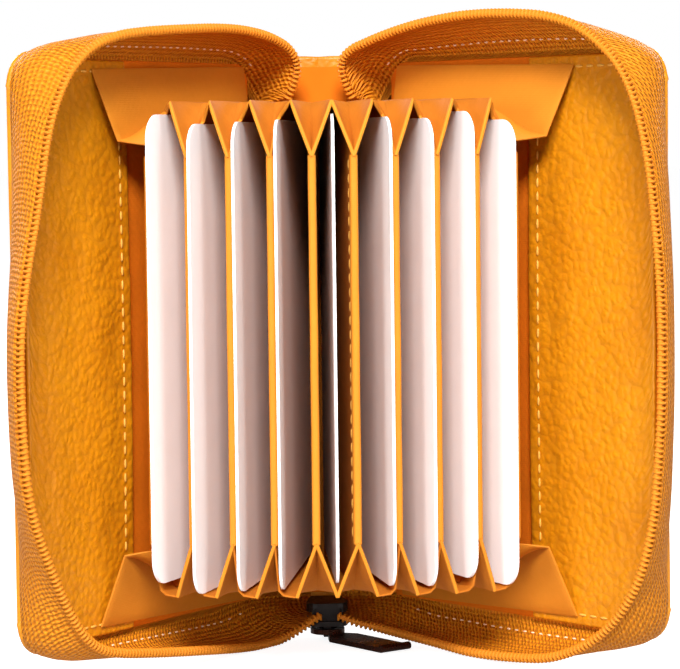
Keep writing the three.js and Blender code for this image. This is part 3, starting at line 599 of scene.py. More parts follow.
# Each finish's colour, its second colour or that colour's share of the first, pattern, scale and look
FINISHES = {
    "pebbled_leather": (
        "leather", "leather_dark", "grain", 8.0,
        dict(bump=0.5, depth=0.3, rough=(0.42, 0.55), shade_amount=0.15, specular=0.35, clouds=0.5),
    ),
    "slip_pocket_leather": (
        "leather", "leather_dark", "grain", 7.0,
        dict(bump=0.6, depth=0.34, rough=(0.4, 0.52), shade_amount=0.25, specular=0.35, clouds=0.4),
    ),
    "woven_lining": (
        "lining", 0.8, "weave", 8.0,
        dict(bump=0.4, depth=0.08, rough=(0.75, 0.9), shade_amount=0.3, specular=0.15),
    ),
    "pocket_twill": (
        "fabric", 0.86, "weave", 9.0,
        dict(bump=0.35, depth=0.06, rough=(0.7, 0.88), shade_amount=0.22, specular=0.15),
    ),
    # Also worn by the end gussets as painted light: lighter than the pocket fabric, to brighten them where the
    # tape shades them
    "folded_hem": (
        "hem", 0.9, "weave", 9.0,
        dict(bump=0.3, depth=0.05, rough=(0.6, 0.8), shade_amount=0.15, specular=0.2),
    ),
    # Painted shade: the knit's gaps are tinted three quarters of the way to the gap colour
    "knitted_tape": (
        "tape", 0.9, "knit", 3.4,
        dict(bump=0.9, depth=0.3, rough=(0.6, 0.85), shade="tape_gap", shade_amount=0.75, specular=0.2),
    ),
    "zip_coil_nylon": (
        "coil", 0.92, "weave", 6.0,
        dict(surface="Object", bump=0.1, depth=0.04, rough=(0.55, 0.7), shade_amount=0.1, specular=0.2),
    ),
    "leather_thread": (
        "thread", 0.85, "weave", 14.0,
        dict(surface="Object", bump=0.4, depth=0.05, rough=(0.5, 0.7), shade_amount=0.2, sheen=0.1),
    ),
    "pale_thread": (
        "pale_thread", 0.85, "weave", 14.0,
        dict(surface="Object", bump=0.4, depth=0.05, rough=(0.5, 0.7), shade_amount=0.2, sheen=0.1),
    ),
    "plain_card": (
        "card", 0.97, "grain", 30.0,
        dict(surface="Object", bump=0.04, depth=0.02, rough=(0.35, 0.45), shade_amount=0.02, specular=0.45,
             clouds=1.5),
    ),
    "stiff_board": (
        "board", 0.8, "weave", 10.0,
        dict(surface="Object", bump=0.2, depth=0.05, rough=(0.8, 0.95), shade_amount=0.2),
    ),
    "dark_slider": (
        "slider", 0.6, "grain", 14.0,
        dict(surface="Object", bump=0.06, depth=0.03, rough=(0.42, 0.55), shade_amount=0.2, metallic=0.3,
             specular=0.3, clouds=2.0),
    ),
    "bronzed_pull": (
        "pull", 0.6, "grain", 10.0,
        dict(surface="Object", bump=0.08, depth=0.03, rough=(0.25, 0.4), shade_amount=0.3, metallic=0.8,
             clouds=1.6),
    ),
}
PLAIN_LOOK = dict(surface="UV", shade=None, metallic=0.0, sheen=0.0, specular=0.5, clouds=0.6)
GROUPS = {}
MATERIALS = {}


def placed_effect(tree, name, vector, scale):
    """An effect's node in a material, and its output that says where it tints: random tone for the dye and the
    weave, painted shade for the grain's creases and the knit's gaps.
    """
    maker, knob, tint_and_painted_shade = EFFECTS[name]
    if name not in GROUPS:
        GROUPS[name] = maker()
    node = tree.nodes.new("ShaderNodeGroup")
    node.node_tree = GROUPS[name]
    tree.links.new(vector, node.inputs["Vector"])
    node.inputs[knob].default_value = scale
    return node, node.outputs[tint_and_painted_shade]


def scaled(colour, factor):
    return tuple(min(1.0, v * factor) for v in colour)


def mixed(tree, amount, first, second):
    """Two colours mixed."""
    feeds = {0: amount, 6: first, 7: (*second, 1.0)}
    return linked(tree, "ShaderNodeMix", feeds, data_type="RGBA").outputs[2]


def finish(name):
    """A material with uneven dye, a pattern's relief and a darker tint: painted shade in the creases of the grain
    and the gaps of the knit, uneven thread at the weave's slubs.
    """
    if name in MATERIALS:
        return MATERIALS[name]
    first, second, pattern, scale, settings = FINISHES[name]
    look = {**PLAIN_LOOK, **settings}
    colour = getattr(colours(), first)
    second = getattr(colours(), second) if isinstance(second, str) else scaled(colour, second)
    shade = getattr(colours(), look["shade"]) if look["shade"] else scaled(second, 0.5)
    material = bpy.data.materials.new(name)
    material.use_nodes = True
    tree = material.node_tree
    shader = tree.nodes["Principled BSDF"]
    vector = tree.nodes.new("ShaderNodeTexCoord").outputs[look["surface"]]
    if look["surface"] == "Object":
        vector = linked(tree, "ShaderNodeMapping", {"Vector": vector, "Scale": (100, 100, 100)}).outputs[0]
    _, dye = placed_effect(tree, "dye", vector, look["clouds"])
    base = mixed(tree, dye, (*colour, 1.0), second)
    relief, painted_shade_and_slub = placed_effect(tree, pattern, vector, scale)
    # Painted shade: creases and gaps are tinted towards the shade colour; the weave's slubs tint as uneven thread
    base = mixed(tree, mathed(tree, "MULTIPLY", painted_shade_and_slub, look["shade_amount"], clamp=True), base, shade)
    feeds = {"Height": relief.outputs["Height"], "Strength": look["bump"], "Distance": look["depth"] * MM}
    tree.links.new(linked(tree, "ShaderNodeBump", feeds).outputs[0], shader.inputs["Normal"])
    tree.links.new(base, shader.inputs["Base Color"])
    tree.links.new(ranged(tree, painted_shade_and_slub, 0.0, 1.0, *look["rough"]), shader.inputs["Roughness"])
    shader.inputs["Metallic"].default_value = look["metallic"]
    shader.inputs["Sheen Weight"].default_value = look["sheen"]
    shader.inputs["Specular IOR Level"].default_value = look["specular"]
    MATERIALS[name] = material
    return material


# Rows of like pieces


def row_tree():
    """Geometry nodes that set one rounded piece on each point, turned to its attributes."""
    if "row" in GROUPS:
        return GROUPS["row"]
    tree = bpy.data.node_groups.new("Row of rounded pieces", "GeometryNodeTree")
    face = tree.interface
    face.new_socket(name="Geometry", in_out="INPUT", socket_type="NodeSocketGeometry")
    for label in ("Length", "Width", "Height"):
        face.new_socket(name=label, in_out="INPUT", socket_type="NodeSocketFloat")
    face.new_socket(name="Material", in_out="INPUT", socket_type="NodeSocketMaterial")
    face.new_socket(name="Geometry", in_out="OUTPUT", socket_type="NodeSocketGeometry")
    inp = tree.nodes.new("NodeGroupInput")
    out = tree.nodes.new("NodeGroupOutput")
    ball = linked(tree, "GeometryNodeMeshUVSphere", {"Segments": 8, "Rings": 6, "Radius": 0.5})
    size = linked(
        tree, "ShaderNodeCombineXYZ",
        {0: inp.outputs["Length"], 1: inp.outputs["Width"], 2: inp.outputs["Height"]},
    )
    piece = linked(
        tree, "GeometryNodeTransform", {"Geometry": ball.outputs["Mesh"], "Scale": size.outputs[0]}
    )
    turns = None
    for name, axis in (("along", "X"), ("facing", "Z")):
        read = linked(tree, "GeometryNodeInputNamedAttribute", {"Name": name}, data_type="FLOAT_VECTOR")
        feeds = {"Vector": read.outputs["Attribute"]}
        if turns is not None:
            feeds["Rotation"] = turns
        turn = linked(tree, "FunctionNodeAlignRotationToVector", feeds, axis=axis)
        if axis == "Z":
            turn.pivot_axis = "X"
        turns = turn.outputs["Rotation"]
    placed = linked(
        tree, "GeometryNodeInstanceOnPoints",
        {"Points": inp.outputs["Geometry"], "Instance": piece.outputs["Geometry"], "Rotation": turns},
    )
    real = linked(tree, "GeometryNodeRealizeInstances", {"Geometry": placed.outputs["Instances"]})
    soft = linked(tree, "GeometryNodeSetShadeSmooth", {"Geometry": real.outputs["Geometry"]})
    dressed = linked(
        tree, "GeometryNodeSetMaterial",
        {"Geometry": soft.outputs["Geometry"], "Material": inp.outputs["Material"]},
    )
    tree.links.new(dressed.outputs["Geometry"], out.inputs["Geometry"])
    GROUPS["row"] = tree
    return tree


def row_of_pieces(name, points, along, facing, size, material):
    """One mesh of rounded pieces at the points: size is length along, width and height in millimetres."""
    mesh = bpy.data.meshes.new(name + "_points")
    mesh.from_pydata([metres(p) for p in points], [], [])
    for label, values in (("along", along), ("facing", facing)):
        layer = mesh.attributes.new(label, "FLOAT_VECTOR", "POINT")
        layer.data.foreach_set("vector", unit(np.array(values, float)).astype(np.float32).ravel())
    carrier = bpy.data.objects.new(name + "_row", mesh)
    bpy.context.scene.collection.objects.link(carrier)
    modifier = carrier.modifiers.new("row", "NODES")
    modifier.node_group = row_tree()
    values = {"Length": size[0] * MM, "Width": size[1] * MM, "Height": size[2] * MM, "Material": material}
    for item in modifier.node_group.interface.items_tree:
        if item.in_out == "INPUT" and item.name in values:
            modifier[item.identifier] = values[item.name]
    bpy.context.view_layer.update()
    seen = carrier.evaluated_get(bpy.context.evaluated_depsgraph_get())
    made = bpy.data.meshes.new_from_object(seen)
    made.name = name
    bpy.data.objects.remove(carrier)
    bpy.data.meshes.remove(mesh)
    if not len(made.polygons):
        raise RuntimeError(f"{name}: no pieces were made")
    if not made.materials:
        made.materials.append(material)
    obj = bpy.data.objects.new(name, made)
    bpy.context.scene.collection.objects.link(obj)
    return obj


def stitch_row(name, points, facing):
    """Stitches along a line of points, each lying on the surface that faces the given way."""
    length, width = sizes().stitch_length / MM, sizes().thread_width / MM
    path = smooth_path(points, sizes().stitch_pitch / MM)
    along = np.gradient(path, axis=0)
    facing = np.broadcast_to(np.asarray(facing, float), path.shape)
    return row_of_pieces(name, path, along, facing, (length, width, width * 0.8), finish("leather_thread"))


# Covers


def cover_columns(first, last, steps):
    """Distances from the hinge, closer together round the rounded corners."""
    columns = list(np.linspace(first, COVER_STRAIGHT, steps))
    for k in range(1, CORNER_STEPS + 1):
        turn = math.pi / 2 * k / CORNER_STEPS
        columns.append(COVER_STRAIGHT + (last - COVER_STRAIGHT) * math.sin(turn))
    return columns


def cover_rows(steps):
    """Shares of the way up the cover, closer together near its ends."""
    return [0.5 - 0.5 * math.cos(math.pi * k / steps) for k in range(steps + 1)]


def leather_half(side):
    """The outer leather from the middle of the spine round the fold to the cover's fore-edge."""
    s = SIDES[side]
    places = [(MIDDLE_X + s * x, HINGE_Y - LEATHER_H, None) for x in (*SPINE_STATIONS, HINGE_X)]
    outer = math.pi / 2 - OPENING[side]
    for k in range(1, FOLD_STEPS):
        a = outer * k / FOLD_STEPS
        x = MIDDLE_X + s * (HINGE_X - LEATHER_H * math.sin(a))
        places.append((x, HINGE_Y - LEATHER_H * math.cos(a), None))
    for u in cover_columns(0.01, COVER_WIDTH - LEATHER_INSET, 22):
        x, y, _ = on_cover(side, u, LEATHER_H, 0)
        places.append((x, y, u))
    rows = cover_rows(34)
    grid = []
    for x, y, u in places:
        drop = LEATHER_TRIM
        if u is not None:
            drop += (LEATHER_INSET - LEATHER_TRIM) * min(1.0, u / 20.0) + corner_drop(u, LEATHER_INSET)
        low, high = COVER_BASE + drop, COVER_TOP - drop
        column = []
        for t in rows:
            z = low + (high - low) * t
            lift = 0.14 * ripple((x, y, z), 17.0, 3.1) if u is not None else 0.0
            column.append(np.array((x, y, z)) - lift * cover_way(side))
        grid.append(column)
    if side == "left":
        grid = grid[::-1]
    obj = sheet_piece(f"{side}_leather", grid, LEATHER_THICKNESS, finish("pebbled_leather"), 60)
    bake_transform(obj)
    nodes = [f"{side}_cover_leather", f"{side}_hinge_fold"]
    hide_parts(*(nodes + ["spine_leather"] if side == "left" else nodes))


def cover_sheet(side, first, last, inset, h, steps, rise):
    """A grid over the cover at height h, with rounded outer corners and a rise added by a function."""
    grid = []
    for u in cover_columns(first, last, steps):
        reach = (u - COVER_STRAIGHT) / max(last - COVER_STRAIGHT, 1e-6)
        drop = 0.0
        if reach > 0:
            radius = COVER_CORNER - inset
            drop = radius - math.sqrt(max(0.0, radius * radius * (1 - min(1.0, reach) ** 2)))
        low, high = COVER_BASE + inset + drop, COVER_TOP - inset - drop
        column = []
        for t in cover_rows(40):
            z = low + (high - low) * t
            column.append(on_cover(side, u, h + rise(u, z), z))
        grid.append(column)
    return grid if side == "right" else grid[::-1]


def lining_sheet(side):
    def rise(u, z):
        return 0.12 * ripple((u, 0, z), 14.0, 5.0)

    grid = cover_sheet(side, LINING_START, COVER_WIDTH - LINING_INSET, LINING_INSET, LINING_H, 18, rise)
    obj = sheet_piece(f"{side}_lining", grid, LINING_THICKNESS, finish("woven_lining"))
    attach(obj, f"{side}_cover")
    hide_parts(f"{side}_cover_lining")


def slip_bow(z):
    """How far the slip pocket's free edge stands off at a level, as a share of its middle."""
    return max(0.0, 1 - ((z - MIDDLE_Z) / SLIP_HALF) ** 2)


def slip_pocket(side):
    """The leather slip pocket: sewn along three sides, its free edge standing off a little."""
    edge = SLIP_EDGE[side]

    def rise(u, z):
        free = max(0.0, 1 - (u - edge) / SLIP_FREE)
        crease = ripple((u * 1.6, 0, z), 9.0, 7.0) + 0.5 * ripple((u, 2.0, z * 1.4), 4.2, 9.0)
        return 0.55 * free * slip_bow(z) + SLIP_WRINKLE[side] * slip_bow(z) * crease

    grid = cover_sheet(side, edge, COVER_WIDTH - SLIP_SEAM, SLIP_INSET, SLIP_H, 36, rise)
    obj = sheet_piece(f"{side}_slip_pocket", grid, SLIP_THICKNESS, finish("slip_pocket_leather"))
    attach(obj, f"{side}_cover")
    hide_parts(f"{side}_cover_slip_pocket")


# Zip


def zip_stations(side, step):
    """The chain's line and its seam's line on a cover, evenly spaced: six numbers each."""
    top, bottom = (
        [(*line, *seam) for line, seam in zip(TAIL_LINES[side][end], TAIL_SEAMS[end])] for end in TAIL_SEAMS
    )
    middle = []
    for u, z in ZIP_LINE[side]:
        ru, rz = rim_point(u, z)
        middle.append((u, ZIP_H, z, ru, 0.0, rz))
    return smooth_path(top + middle + bottom, step)


def rim_ways(path):
    """The way out of the cover's rounded edge at each station's seam, as unit (u, z)."""
    inner = np.stack([
        np.minimum(path[:, 3], COVER_STRAIGHT),
        np.clip(path[:, 5], COVER_BASE + COVER_CORNER, COVER_TOP - COVER_CORNER),
    ], 1)
    way = unit(path[:, [3, 5]] - inner)
    for _ in range(4):
        way[1:-1] = unit(way[:-2] + 2 * way[1:-1] + way[2:])
    return way


def tape_grid(side, path):
    """The tape from its seam allowance under the cover's edge out to the coil, with a slight belly."""
    grid = []
    for (cu, ch, cz, ru, rh, rz), (du, dz) in zip(path, rim_ways(path)):
        out = np.array([du, 0.0, dz])
        seam = np.array([ru, rh - TAPE_SEAM_DROP, rz]) - out * TAPE_SEAM_INSET
        root = np.array([cu, ch - TAPE_UNDER_COIL, cz])
        chord = root - seam
        reach, rise = float(np.dot(chord, out)), float(chord[1])
        belly = unit(out * rise - np.array([0.0, reach, 0.0]))
        belly *= TAPE_HANDLE * TAPE_BELLY["short" if reach < TAPE_LONG else "long"]
        first = seam + chord / 3 + belly
        second = root - chord / 3 + belly
        places = [seam - out * TAPE_ALLOWANCE, seam - out * TAPE_ALLOWANCE / 2]
        for t in np.linspace(0, 1, 15):
            s = 1 - t
            places.append(s ** 3 * seam + 3 * t * s ** 2 * first + 3 * t * t * s * second + t ** 3 * root)
        grid.append([on_cover(side, *p) for p in places])
    return grid


def zip_blend(obj):
    """Bakes the zip piece's placement into its mesh; the zip turns with its cover and its ends stay with the
    spine, but the piece is tied to neither.
    """
    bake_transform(obj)


def zip_tape(side):
    path = zip_stations(side, TAPE_STEP)
    grid = tape_grid(side, path)
    if side == "right":
        grid = grid[::-1]
    obj = sheet_piece(f"{side}_tape", grid, TAPE_THICKNESS, finish("knitted_tape"))
    zip_blend(obj)
    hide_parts(f"{side}_cover_zip_tape", f"{side}_zip_tail_top", f"{side}_zip_tail_bottom")


def zip_chain(side):
    """The coil: a row of turns along the tape's edge, round a thin cord."""
    up = cover_way(side)
    pitch = sizes().coil_pitch / MM
    path = zip_stations(side, pitch)
    across = [cover_way(side, du, 0, dz) for du, dz in rim_ways(path)]
    line = [
        on_cover(side, *row[:3]) + up * COIL_CORD_LIFT - a * COIL_CORD_INSET for row, a in zip(path, across)
    ]
    lip = swept_body(line, across, [up] * len(line), rounded_section(COIL_CORD, COIL_CORD, 3, 0.8))
    obj = mesh_object(f"{side}_zip_lip", *lip, finish("zip_coil_nylon"))
    zip_blend(obj)
    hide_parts(f"{side}_zip_coil")
    points = np.array([on_cover(side, row[0], row[1] + COIL_LIFT, row[2]) for row in path])
    along = np.gradient(points, axis=0)
    size = (COIL_TURN[0] * pitch, *COIL_TURN[1:])
    turns = row_of_pieces(f"{side}_coil_turns", points, along, across, size, finish("zip_coil_nylon"))
    zip_blend(turns)


# Card pockets


def wall_top(r):
    """How high a pocket wall reaches above the middle at distance r from its back edge."""
    slope = max(0.0, (r - (WALL_DEPTH - MOUTH_DEPTH)) / MOUTH_DEPTH)
    return POCKET_HALF - WALL_SHORT - (MOUTH_DROP - WALL_FRONT_RISE) * slope


def pocket_wall(k):
    shoulder = WALL_DEPTH - MOUTH_DEPTH
    rs = [*np.linspace(WALL_BACK, shoulder, 12), *np.linspace(shoulder, WALL_DEPTH - WALL_FRONT, 7)[1:]]
    grid = []
    for r in rs:
        top = wall_top(r)
        grid.append([
            beside_wall(k, r, 0.08 * ripple((r, k * 7.0, z), 15.0, 2.0), MIDDLE_Z + z)
            for z in np.linspace(-top, top, 24)
        ])
    obj = sheet_piece(f"{WALLS[k]}_panel", grid, WALL_THICKNESS, finish("pocket_twill"))
    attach(obj, WALLS[k])
    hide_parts(WALLS[k])


def wall_binding(k):
    """The binding strip round a wall's front edge."""
    width = sizes().binding_width / MM
    half = POCKET_HALF - MOUTH_DROP - 0.2
    sideways, forward = fan_ways(k)
    path = []
    for z in np.linspace(-half, half, 40):
        r = WALL_DEPTH - BINDING_BACK + 0.05 * ripple((0, k * 5.0, z), 8.0, 1.0)
        path.append(beside_wall(k, r, 0.06 * ripple((3, k * 5.0, z), 11.0, 4.0), MIDDLE_Z + z))
    section = rounded_section(width, BINDING_DEPTH, 4, 0.55)
    body = swept_body(path, [sideways] * len(path), [forward] * len(path), section)
    obj = mesh_object(f"{WALLS[k]}_binding", *body, finish("folded_hem"), 50)
    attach(obj, WALLS[k])


def between_walls(k, share, r, z):
    a, b = beside_wall(k, r, 0, z), beside_wall(k + 1, r, 0, z)
    return a + (b - a) * share


def mouth_edge(k, share, up):
    """A point of a mouth's gabled edge: its share between the walls, distance from the back and level.

    Beside the wall that the card leans on, the edge runs behind the card and then over its corner.
    """
    ridge = 1 - abs(2 * share - 1)
    peak = POCKET_HALF - MOUTH_PEAK
    middle = np.sign(MIDDLE_POCKET - k)
    if middle == 0 or (0.5 - share) * middle <= 0:
        front = WALL_DEPTH + MOUTH_AHEAD - MOUTH_LEAN * ridge
        return share, front, peak - MOUTH_DROP * (1 - ridge)
    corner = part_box(f"card_{k + 1}")[1 if up > 0 else 0]
    over = up * (corner[2] / MM - MIDDLE_Z)
    pitch = WALL_PITCH + 2 * WALL_DEPTH * math.sin(FAN_STEP / 2)
    stages = (0.0, 1 / 3, 0.5, 1.0)
    shares = (0.0, (CARD_OFFSET - 0.55) / pitch, (CARD_OFFSET + 0.25) / pitch, 0.5)
    inward = np.interp(ridge, stages, shares)
    behind, levels = BEHIND_CARD["top"], (over - 1.0, over + 0.45)
    if up < 0:
        behind, levels = BEHIND_CARD["bottom"], (peak - 1.2, peak - 0.3)
    back = np.interp(ridge, stages, (-MOUTH_AHEAD, behind - 0.4, behind, MOUTH_LEAN))
    level = np.interp(ridge, stages, (peak - MOUTH_DROP, *levels, peak))
    return 0.5 - middle * (0.5 - inward), WALL_DEPTH - back, level


def pocket_grid(k, shares):
    """A pocket's fabric: the roof behind its mouth, the fold at its back and the floor."""
    shoulder = WALL_DEPTH - MOUTH_DEPTH
    ceiling = POCKET_HALF - POCKET_CEILING
    grid = []
    for share in shares:
        level = ceiling - POCKET_SAG * abs(2 * share - 1)
        halves = []
        for up in (1, -1):
            inward, front, mouth = mouth_edge(k, share, up)
            half = []
            for t in np.linspace(0, 1, 7):
                z = MIDDLE_Z + up * (mouth + (level - mouth) * t)
                half.append(between_walls(k, inward, front + (shoulder - front) * t, z))
            for r in np.linspace(shoulder, POCKET_BACK, 8)[1:]:
                half.append(between_walls(k, inward, r, MIDDLE_Z + up * level))
            halves.append(half)
        fold = [
            between_walls(k, share, POCKET_BACK, MIDDLE_Z + v * ceiling) for v in np.linspace(0.9, -0.9, 9)
        ]
        grid.append(halves[0] + fold + halves[1][::-1])
    return grid


def hem_body(k, shares, up):
    """A flat hem along a pocket mouth's gabled edge, above or below."""
    width = sizes().hem_width / MM
    path = []
    if up < 0:
        shares = [share for share in shares if (0.5 - share) * np.sign(MIDDLE_POCKET - k) <= 0]
    for share in shares:
        inward, front, level = mouth_edge(k, share, up)
        path.append(between_walls(k, inward, front, MIDDLE_Z + up * level))
    path = np.array(path)
    forward = fan_ways(k + 0.5)[1]
    tangent = unit(np.gradient(path, axis=0))
    side = unit(np.cross(np.broadcast_to(forward, tangent.shape), tangent))
    section = rounded_section(width, HEM_THICKNESS, 3, 0.6)
    return swept_body(path, side, [forward] * len(path), section)


def pocket(n):
    """A pocket's folded fabric with its hems, between the walls on its two sides."""
    k = n - 1
    middle = k == MIDDLE_POCKET
    bodies = [(WALLS[k], WALLS[k + 1], (0.0, 1.0))]
    if middle:
        bodies = [(WALLS[k], "spine", (0.0, 0.5)), ("spine", WALLS[k + 1], (0.5, 1.0))]
    for a, b, (low, high) in bodies:
        label = f"pocket_{n}"
        if middle:
            label += "_left" if low == 0 else "_right"
        shares = np.linspace(low, high, 7 if middle else 13)
        grid = pocket_grid(k, shares)
        cloth = sheet_piece(f"{label}_fabric", grid, POCKET_THICKNESS, finish("pocket_twill"), 40)
        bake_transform(cloth)
        if low == 0.0:
            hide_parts(f"pocket_fabric_{n}")
        hems = merged(hem_body(k, shares, 1), hem_body(k, shares, -1))
        hem = mesh_object(f"{label}_hems", *hems, finish("folded_hem"), 50)
        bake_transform(hem)


def end_gusset(side, up):
    """The folded wing between an end wall and its cover, at the top or the bottom.

    The wall turns by a share of its cover's turn.
    """
    k = 0 if side == "left" else 9
    offset = SIDES[side] * GUSSET_OFF_WALL
    rows = []
    for t in GUSSET_STEPS:
        level = MIDDLE_Z + up * (GUSSET_LEVEL + GUSSET_CLIMB * t)
        a = on_cover(side, GUSSET_FRONT - GUSSET_RUN * t, GUSSET_H, level)
        lower = max(0.0, 1 - t / GUSSET_DIP_END)
        r = GUSSET_WALL_FRONT - GUSSET_WALL_RUN * t - GUSSET_DIP_BACK * lower
        w = beside_wall(k, r, offset, MIDDLE_Z + up * (wall_top(r) - 0.1 - GUSSET_DIP_DOWN * lower))
        v = a * GUSSET_FOLD + w * (1 - GUSSET_FOLD)
        v[2] = MIDDLE_Z + up * (POCKET_HALF - GUSSET_FOLD_TOP - GUSSET_FOLD_DROP * (1 - t) ** 1.3)
        row = [a + (v - a) * q for q in np.linspace(0, 1, 8)]
        row += [v + (w - v) * q for q in np.linspace(0, 1, 6)[1:]]
        rows.append(row)
    grid = rows if (side == "left") == (up > 0) else rows[::-1]
    name = "top" if up > 0 else "bottom"
    # Painted light: the wing wears the hems' lighter finish instead of the pocket fabric's, to brighten it where
    # the tape shades it
    obj = sheet_piece(f"{side}_gusset_{name}", grid, GUSSET_THICKNESS, finish("folded_hem"), 35)
    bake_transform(obj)
    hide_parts(f"{side}_end_gusset_{name}")


# Stitching


def cover_stitches(side):
    inward = cover_way(side)
    edge = SLIP_EDGE[side] + SLIP_EDGE_STITCH
    top = SLIP_H + SLIP_THICKNESS / 2 + STITCH_LIFT
    levels = np.linspace(COVER_BASE + 4.5, COVER_TOP - 4.5, 12)
    line = [on_cover(side, edge, top + 0.5 * slip_bow(z), z) for z in levels]
    pieces = [stitch_row(f"{side}_slip_edge_stitches", line, inward)]
    for name, z in (("top", COVER_TOP - SLIP_STITCH_INSET), ("bottom", COVER_BASE + SLIP_STITCH_INSET)):
        line = [on_cover(side, u, top, z) for u in np.linspace(edge, COVER_WIDTH - 9.0, 6)]
        pieces.append(stitch_row(f"{side}_slip_{name}_stitches", line, inward))
        line = [on_cover(side, u, LINING_H + 0.3, z) for u in np.linspace(6.0, edge - 4.0, 6)]
        pieces.append(stitch_row(f"{side}_lining_{name}_stitches", line, inward))
    bend = COVER_TOP - COVER_CORNER
    radius = COVER_CORNER - RIM_STITCH_INSET
    outline = [(u, COVER_TOP - RIM_STITCH_INSET) for u in np.linspace(8.0, COVER_STRAIGHT, 8)]
    for k in range(1, 8):
        a = math.pi / 2 * k / 8
        outline.append((COVER_STRAIGHT + radius * math.sin(a), bend + radius * math.cos(a)))
    fore = [(COVER_WIDTH - RIM_STITCH_INSET, z) for z in np.linspace(bend, COVER_BASE + COVER_CORNER, 8)]
    outline += fore + [(u, 2 * MIDDLE_Z - z) for u, z in outline[::-1]]
    line = [on_cover(side, u, LEATHER_H - LEATHER_THICKNESS / 2 - STITCH_LIFT, z) for u, z in outline]
    pieces.append(stitch_row(f"{side}_rim_stitches", line, -inward))
    for piece in pieces:
        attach(piece, f"{side}_cover")


def wall_stitches(k):
    """Stitches beside a wall's binding, on the face that looks to the middle."""
    s = 1 if k < MIDDLE_WALL else -1
    half = POCKET_HALF - MOUTH_DROP - 2.0
    line = [beside_wall(k, WALL_DEPTH - 4.2, s * 0.55, MIDDLE_Z + z) for z in np.linspace(-half, half, 8)]
    row = stitch_row(f"{WALLS[k]}_stitches", line, s * fan_ways(k)[0])
    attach(row, WALLS[k])


def seam_stitches(side):
    """Pale stitches on the tape's inner face, beside its seam."""
    path = zip_stations(side, 2.3)
    grid = np.array(tape_grid(side, path))
    normal = unit(np.cross(np.gradient(grid, axis=0), np.gradient(grid, axis=1)))
    facing = (-1 if side == "left" else 1) * normal[4:-4, 5]
    points = grid[4:-4, 5] + facing * TAPE_THICKNESS * 0.55
    along = np.gradient(points, axis=0)
    row = row_of_pieces(
        f"{side}_seam_stitches", points, along, facing, TAPE_SEAM_STITCH, finish("pale_thread")
    )
    zip_blend(row)


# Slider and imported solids


def slider_wedge():
    """The dark wedge between the slider's plates, which parts the two coils."""
    low, high = (np.array(corner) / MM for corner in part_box("zip_slider"))
    middle = (low + high) / 2
    half = (high - low) / 2
    path = [middle + np.array((0.0, half[1] * t, 0.0)) for t in np.linspace(-0.8, 0.8, 9)]
    section = rounded_section(half[0] * 1.5, half[2] * 1.3, 3, 0.6)
    across = [np.array((1.0, 0.0, 0.0))] * len(path)
    body = swept_body(path, across, [np.array((0.0, 0.0, 1.0))] * len(path), section)
    obj = mesh_object("slider_wedge", *body, finish("dark_slider"), 40)
    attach(obj, "zip_slider")


def dress_node(name, material):
    """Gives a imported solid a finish."""
    data = frame["nodes"][name].data
    data.materials.clear()
    data.materials.append(material)


# Operators


class PieceOperator:
    """What every piece's operator shares."""

    bl_options = {"REGISTER", "UNDO"}


class CARDHOLDER_OT_leather(PieceOperator, bpy.types.Operator):
    """Make the outer leather, from the spine round to each cover's fore-edge"""

    bl_idname = "card_holder.leather"
    bl_label = "Outer leather"

    def execute(self, context):
        for side in SIDES:
            leather_half(side)
        return {"FINISHED"}


class CARDHOLDER_OT_linings(PieceOperator, bpy.types.Operator):
    """Make the covers' linings and slip pockets, and finish the boards and the spine's lining"""

    bl_idname = "card_holder.linings"
    bl_label = "Linings and slip pockets"

    def execute(self, context):
        for side in SIDES:
            lining_sheet(side)
            slip_pocket(side)
            dress_node(f"{side}_cover_board", finish("stiff_board"))
        dress_node("spine_lining", finish("woven_lining"))
        dress_node("pocket_base_strip", finish("stiff_board"))
        return {"FINISHED"}


class CARDHOLDER_OT_zip(PieceOperator, bpy.types.Operator):
    """Make the zip's knitted tapes and coils"""

    bl_idname = "card_holder.zip"
    bl_label = "Zip tape and coil"

    def execute(self, context):
        for side in SIDES:
            zip_tape(side)
            zip_chain(side)
        return {"FINISHED"}


class CARDHOLDER_OT_walls(PieceOperator, bpy.types.Operator):
    """Make the pocket walls with their binding strips"""

    bl_idname = "card_holder.walls"
    bl_label = "Pocket walls"

    def execute(self, context):
        for k in range(len(WALLS)):
            pocket_wall(k)
            wall_binding(k)
        return {"FINISHED"}


class CARDHOLDER_OT_pockets(PieceOperator, bpy.types.Operator):
    """Make the folded pocket fabric with its hems, and the end gussets"""

    bl_idname = "card_holder.pockets"
    bl_label = "Pockets and gussets"

    def execute(self, context):
        for n in range(1, 10):
            pocket(n)
        for side in SIDES:
            end_gusset(side, 1)
            end_gusset(side, -1)
        return {"FINISHED"}


class CARDHOLDER_OT_stitching(PieceOperator, bpy.types.Operator):
    """Sew the stitch rows on covers, walls and tape"""

    bl_idname = "card_holder.stitching"
    bl_label = "Stitching"

    def execute(self, context):
        for side in SIDES:
            cover_stitches(side)
            seam_stitches(side)
        for k in range(len(WALLS)):
            wall_stitches(k)
        return {"FINISHED"}


class CARDHOLDER_OT_cards(PieceOperator, bpy.types.Operator):
    """Finish the plain cards"""

    bl_idname = "card_holder.cards"
    bl_label = "Cards"

    def execute(self, context):
        for n in range(1, 10):
            dress_node(f"card_{n}", finish("plain_card"))
        return {"FINISHED"}


class CARDHOLDER_OT_slider(PieceOperator, bpy.types.Operator):
    """Finish the slider, its bail and the pull tab"""

    bl_idname = "card_holder.slider"
    bl_label = "Slider and pull tab"

    def execute(self, context):
        for node in ("zip_slider", "zip_bail"):
            dress_node(node, finish("dark_slider"))
        dress_node("zip_pull_tab", finish("bronzed_pull"))
        slider_wedge()
        return {"FINISHED"}


# Stage

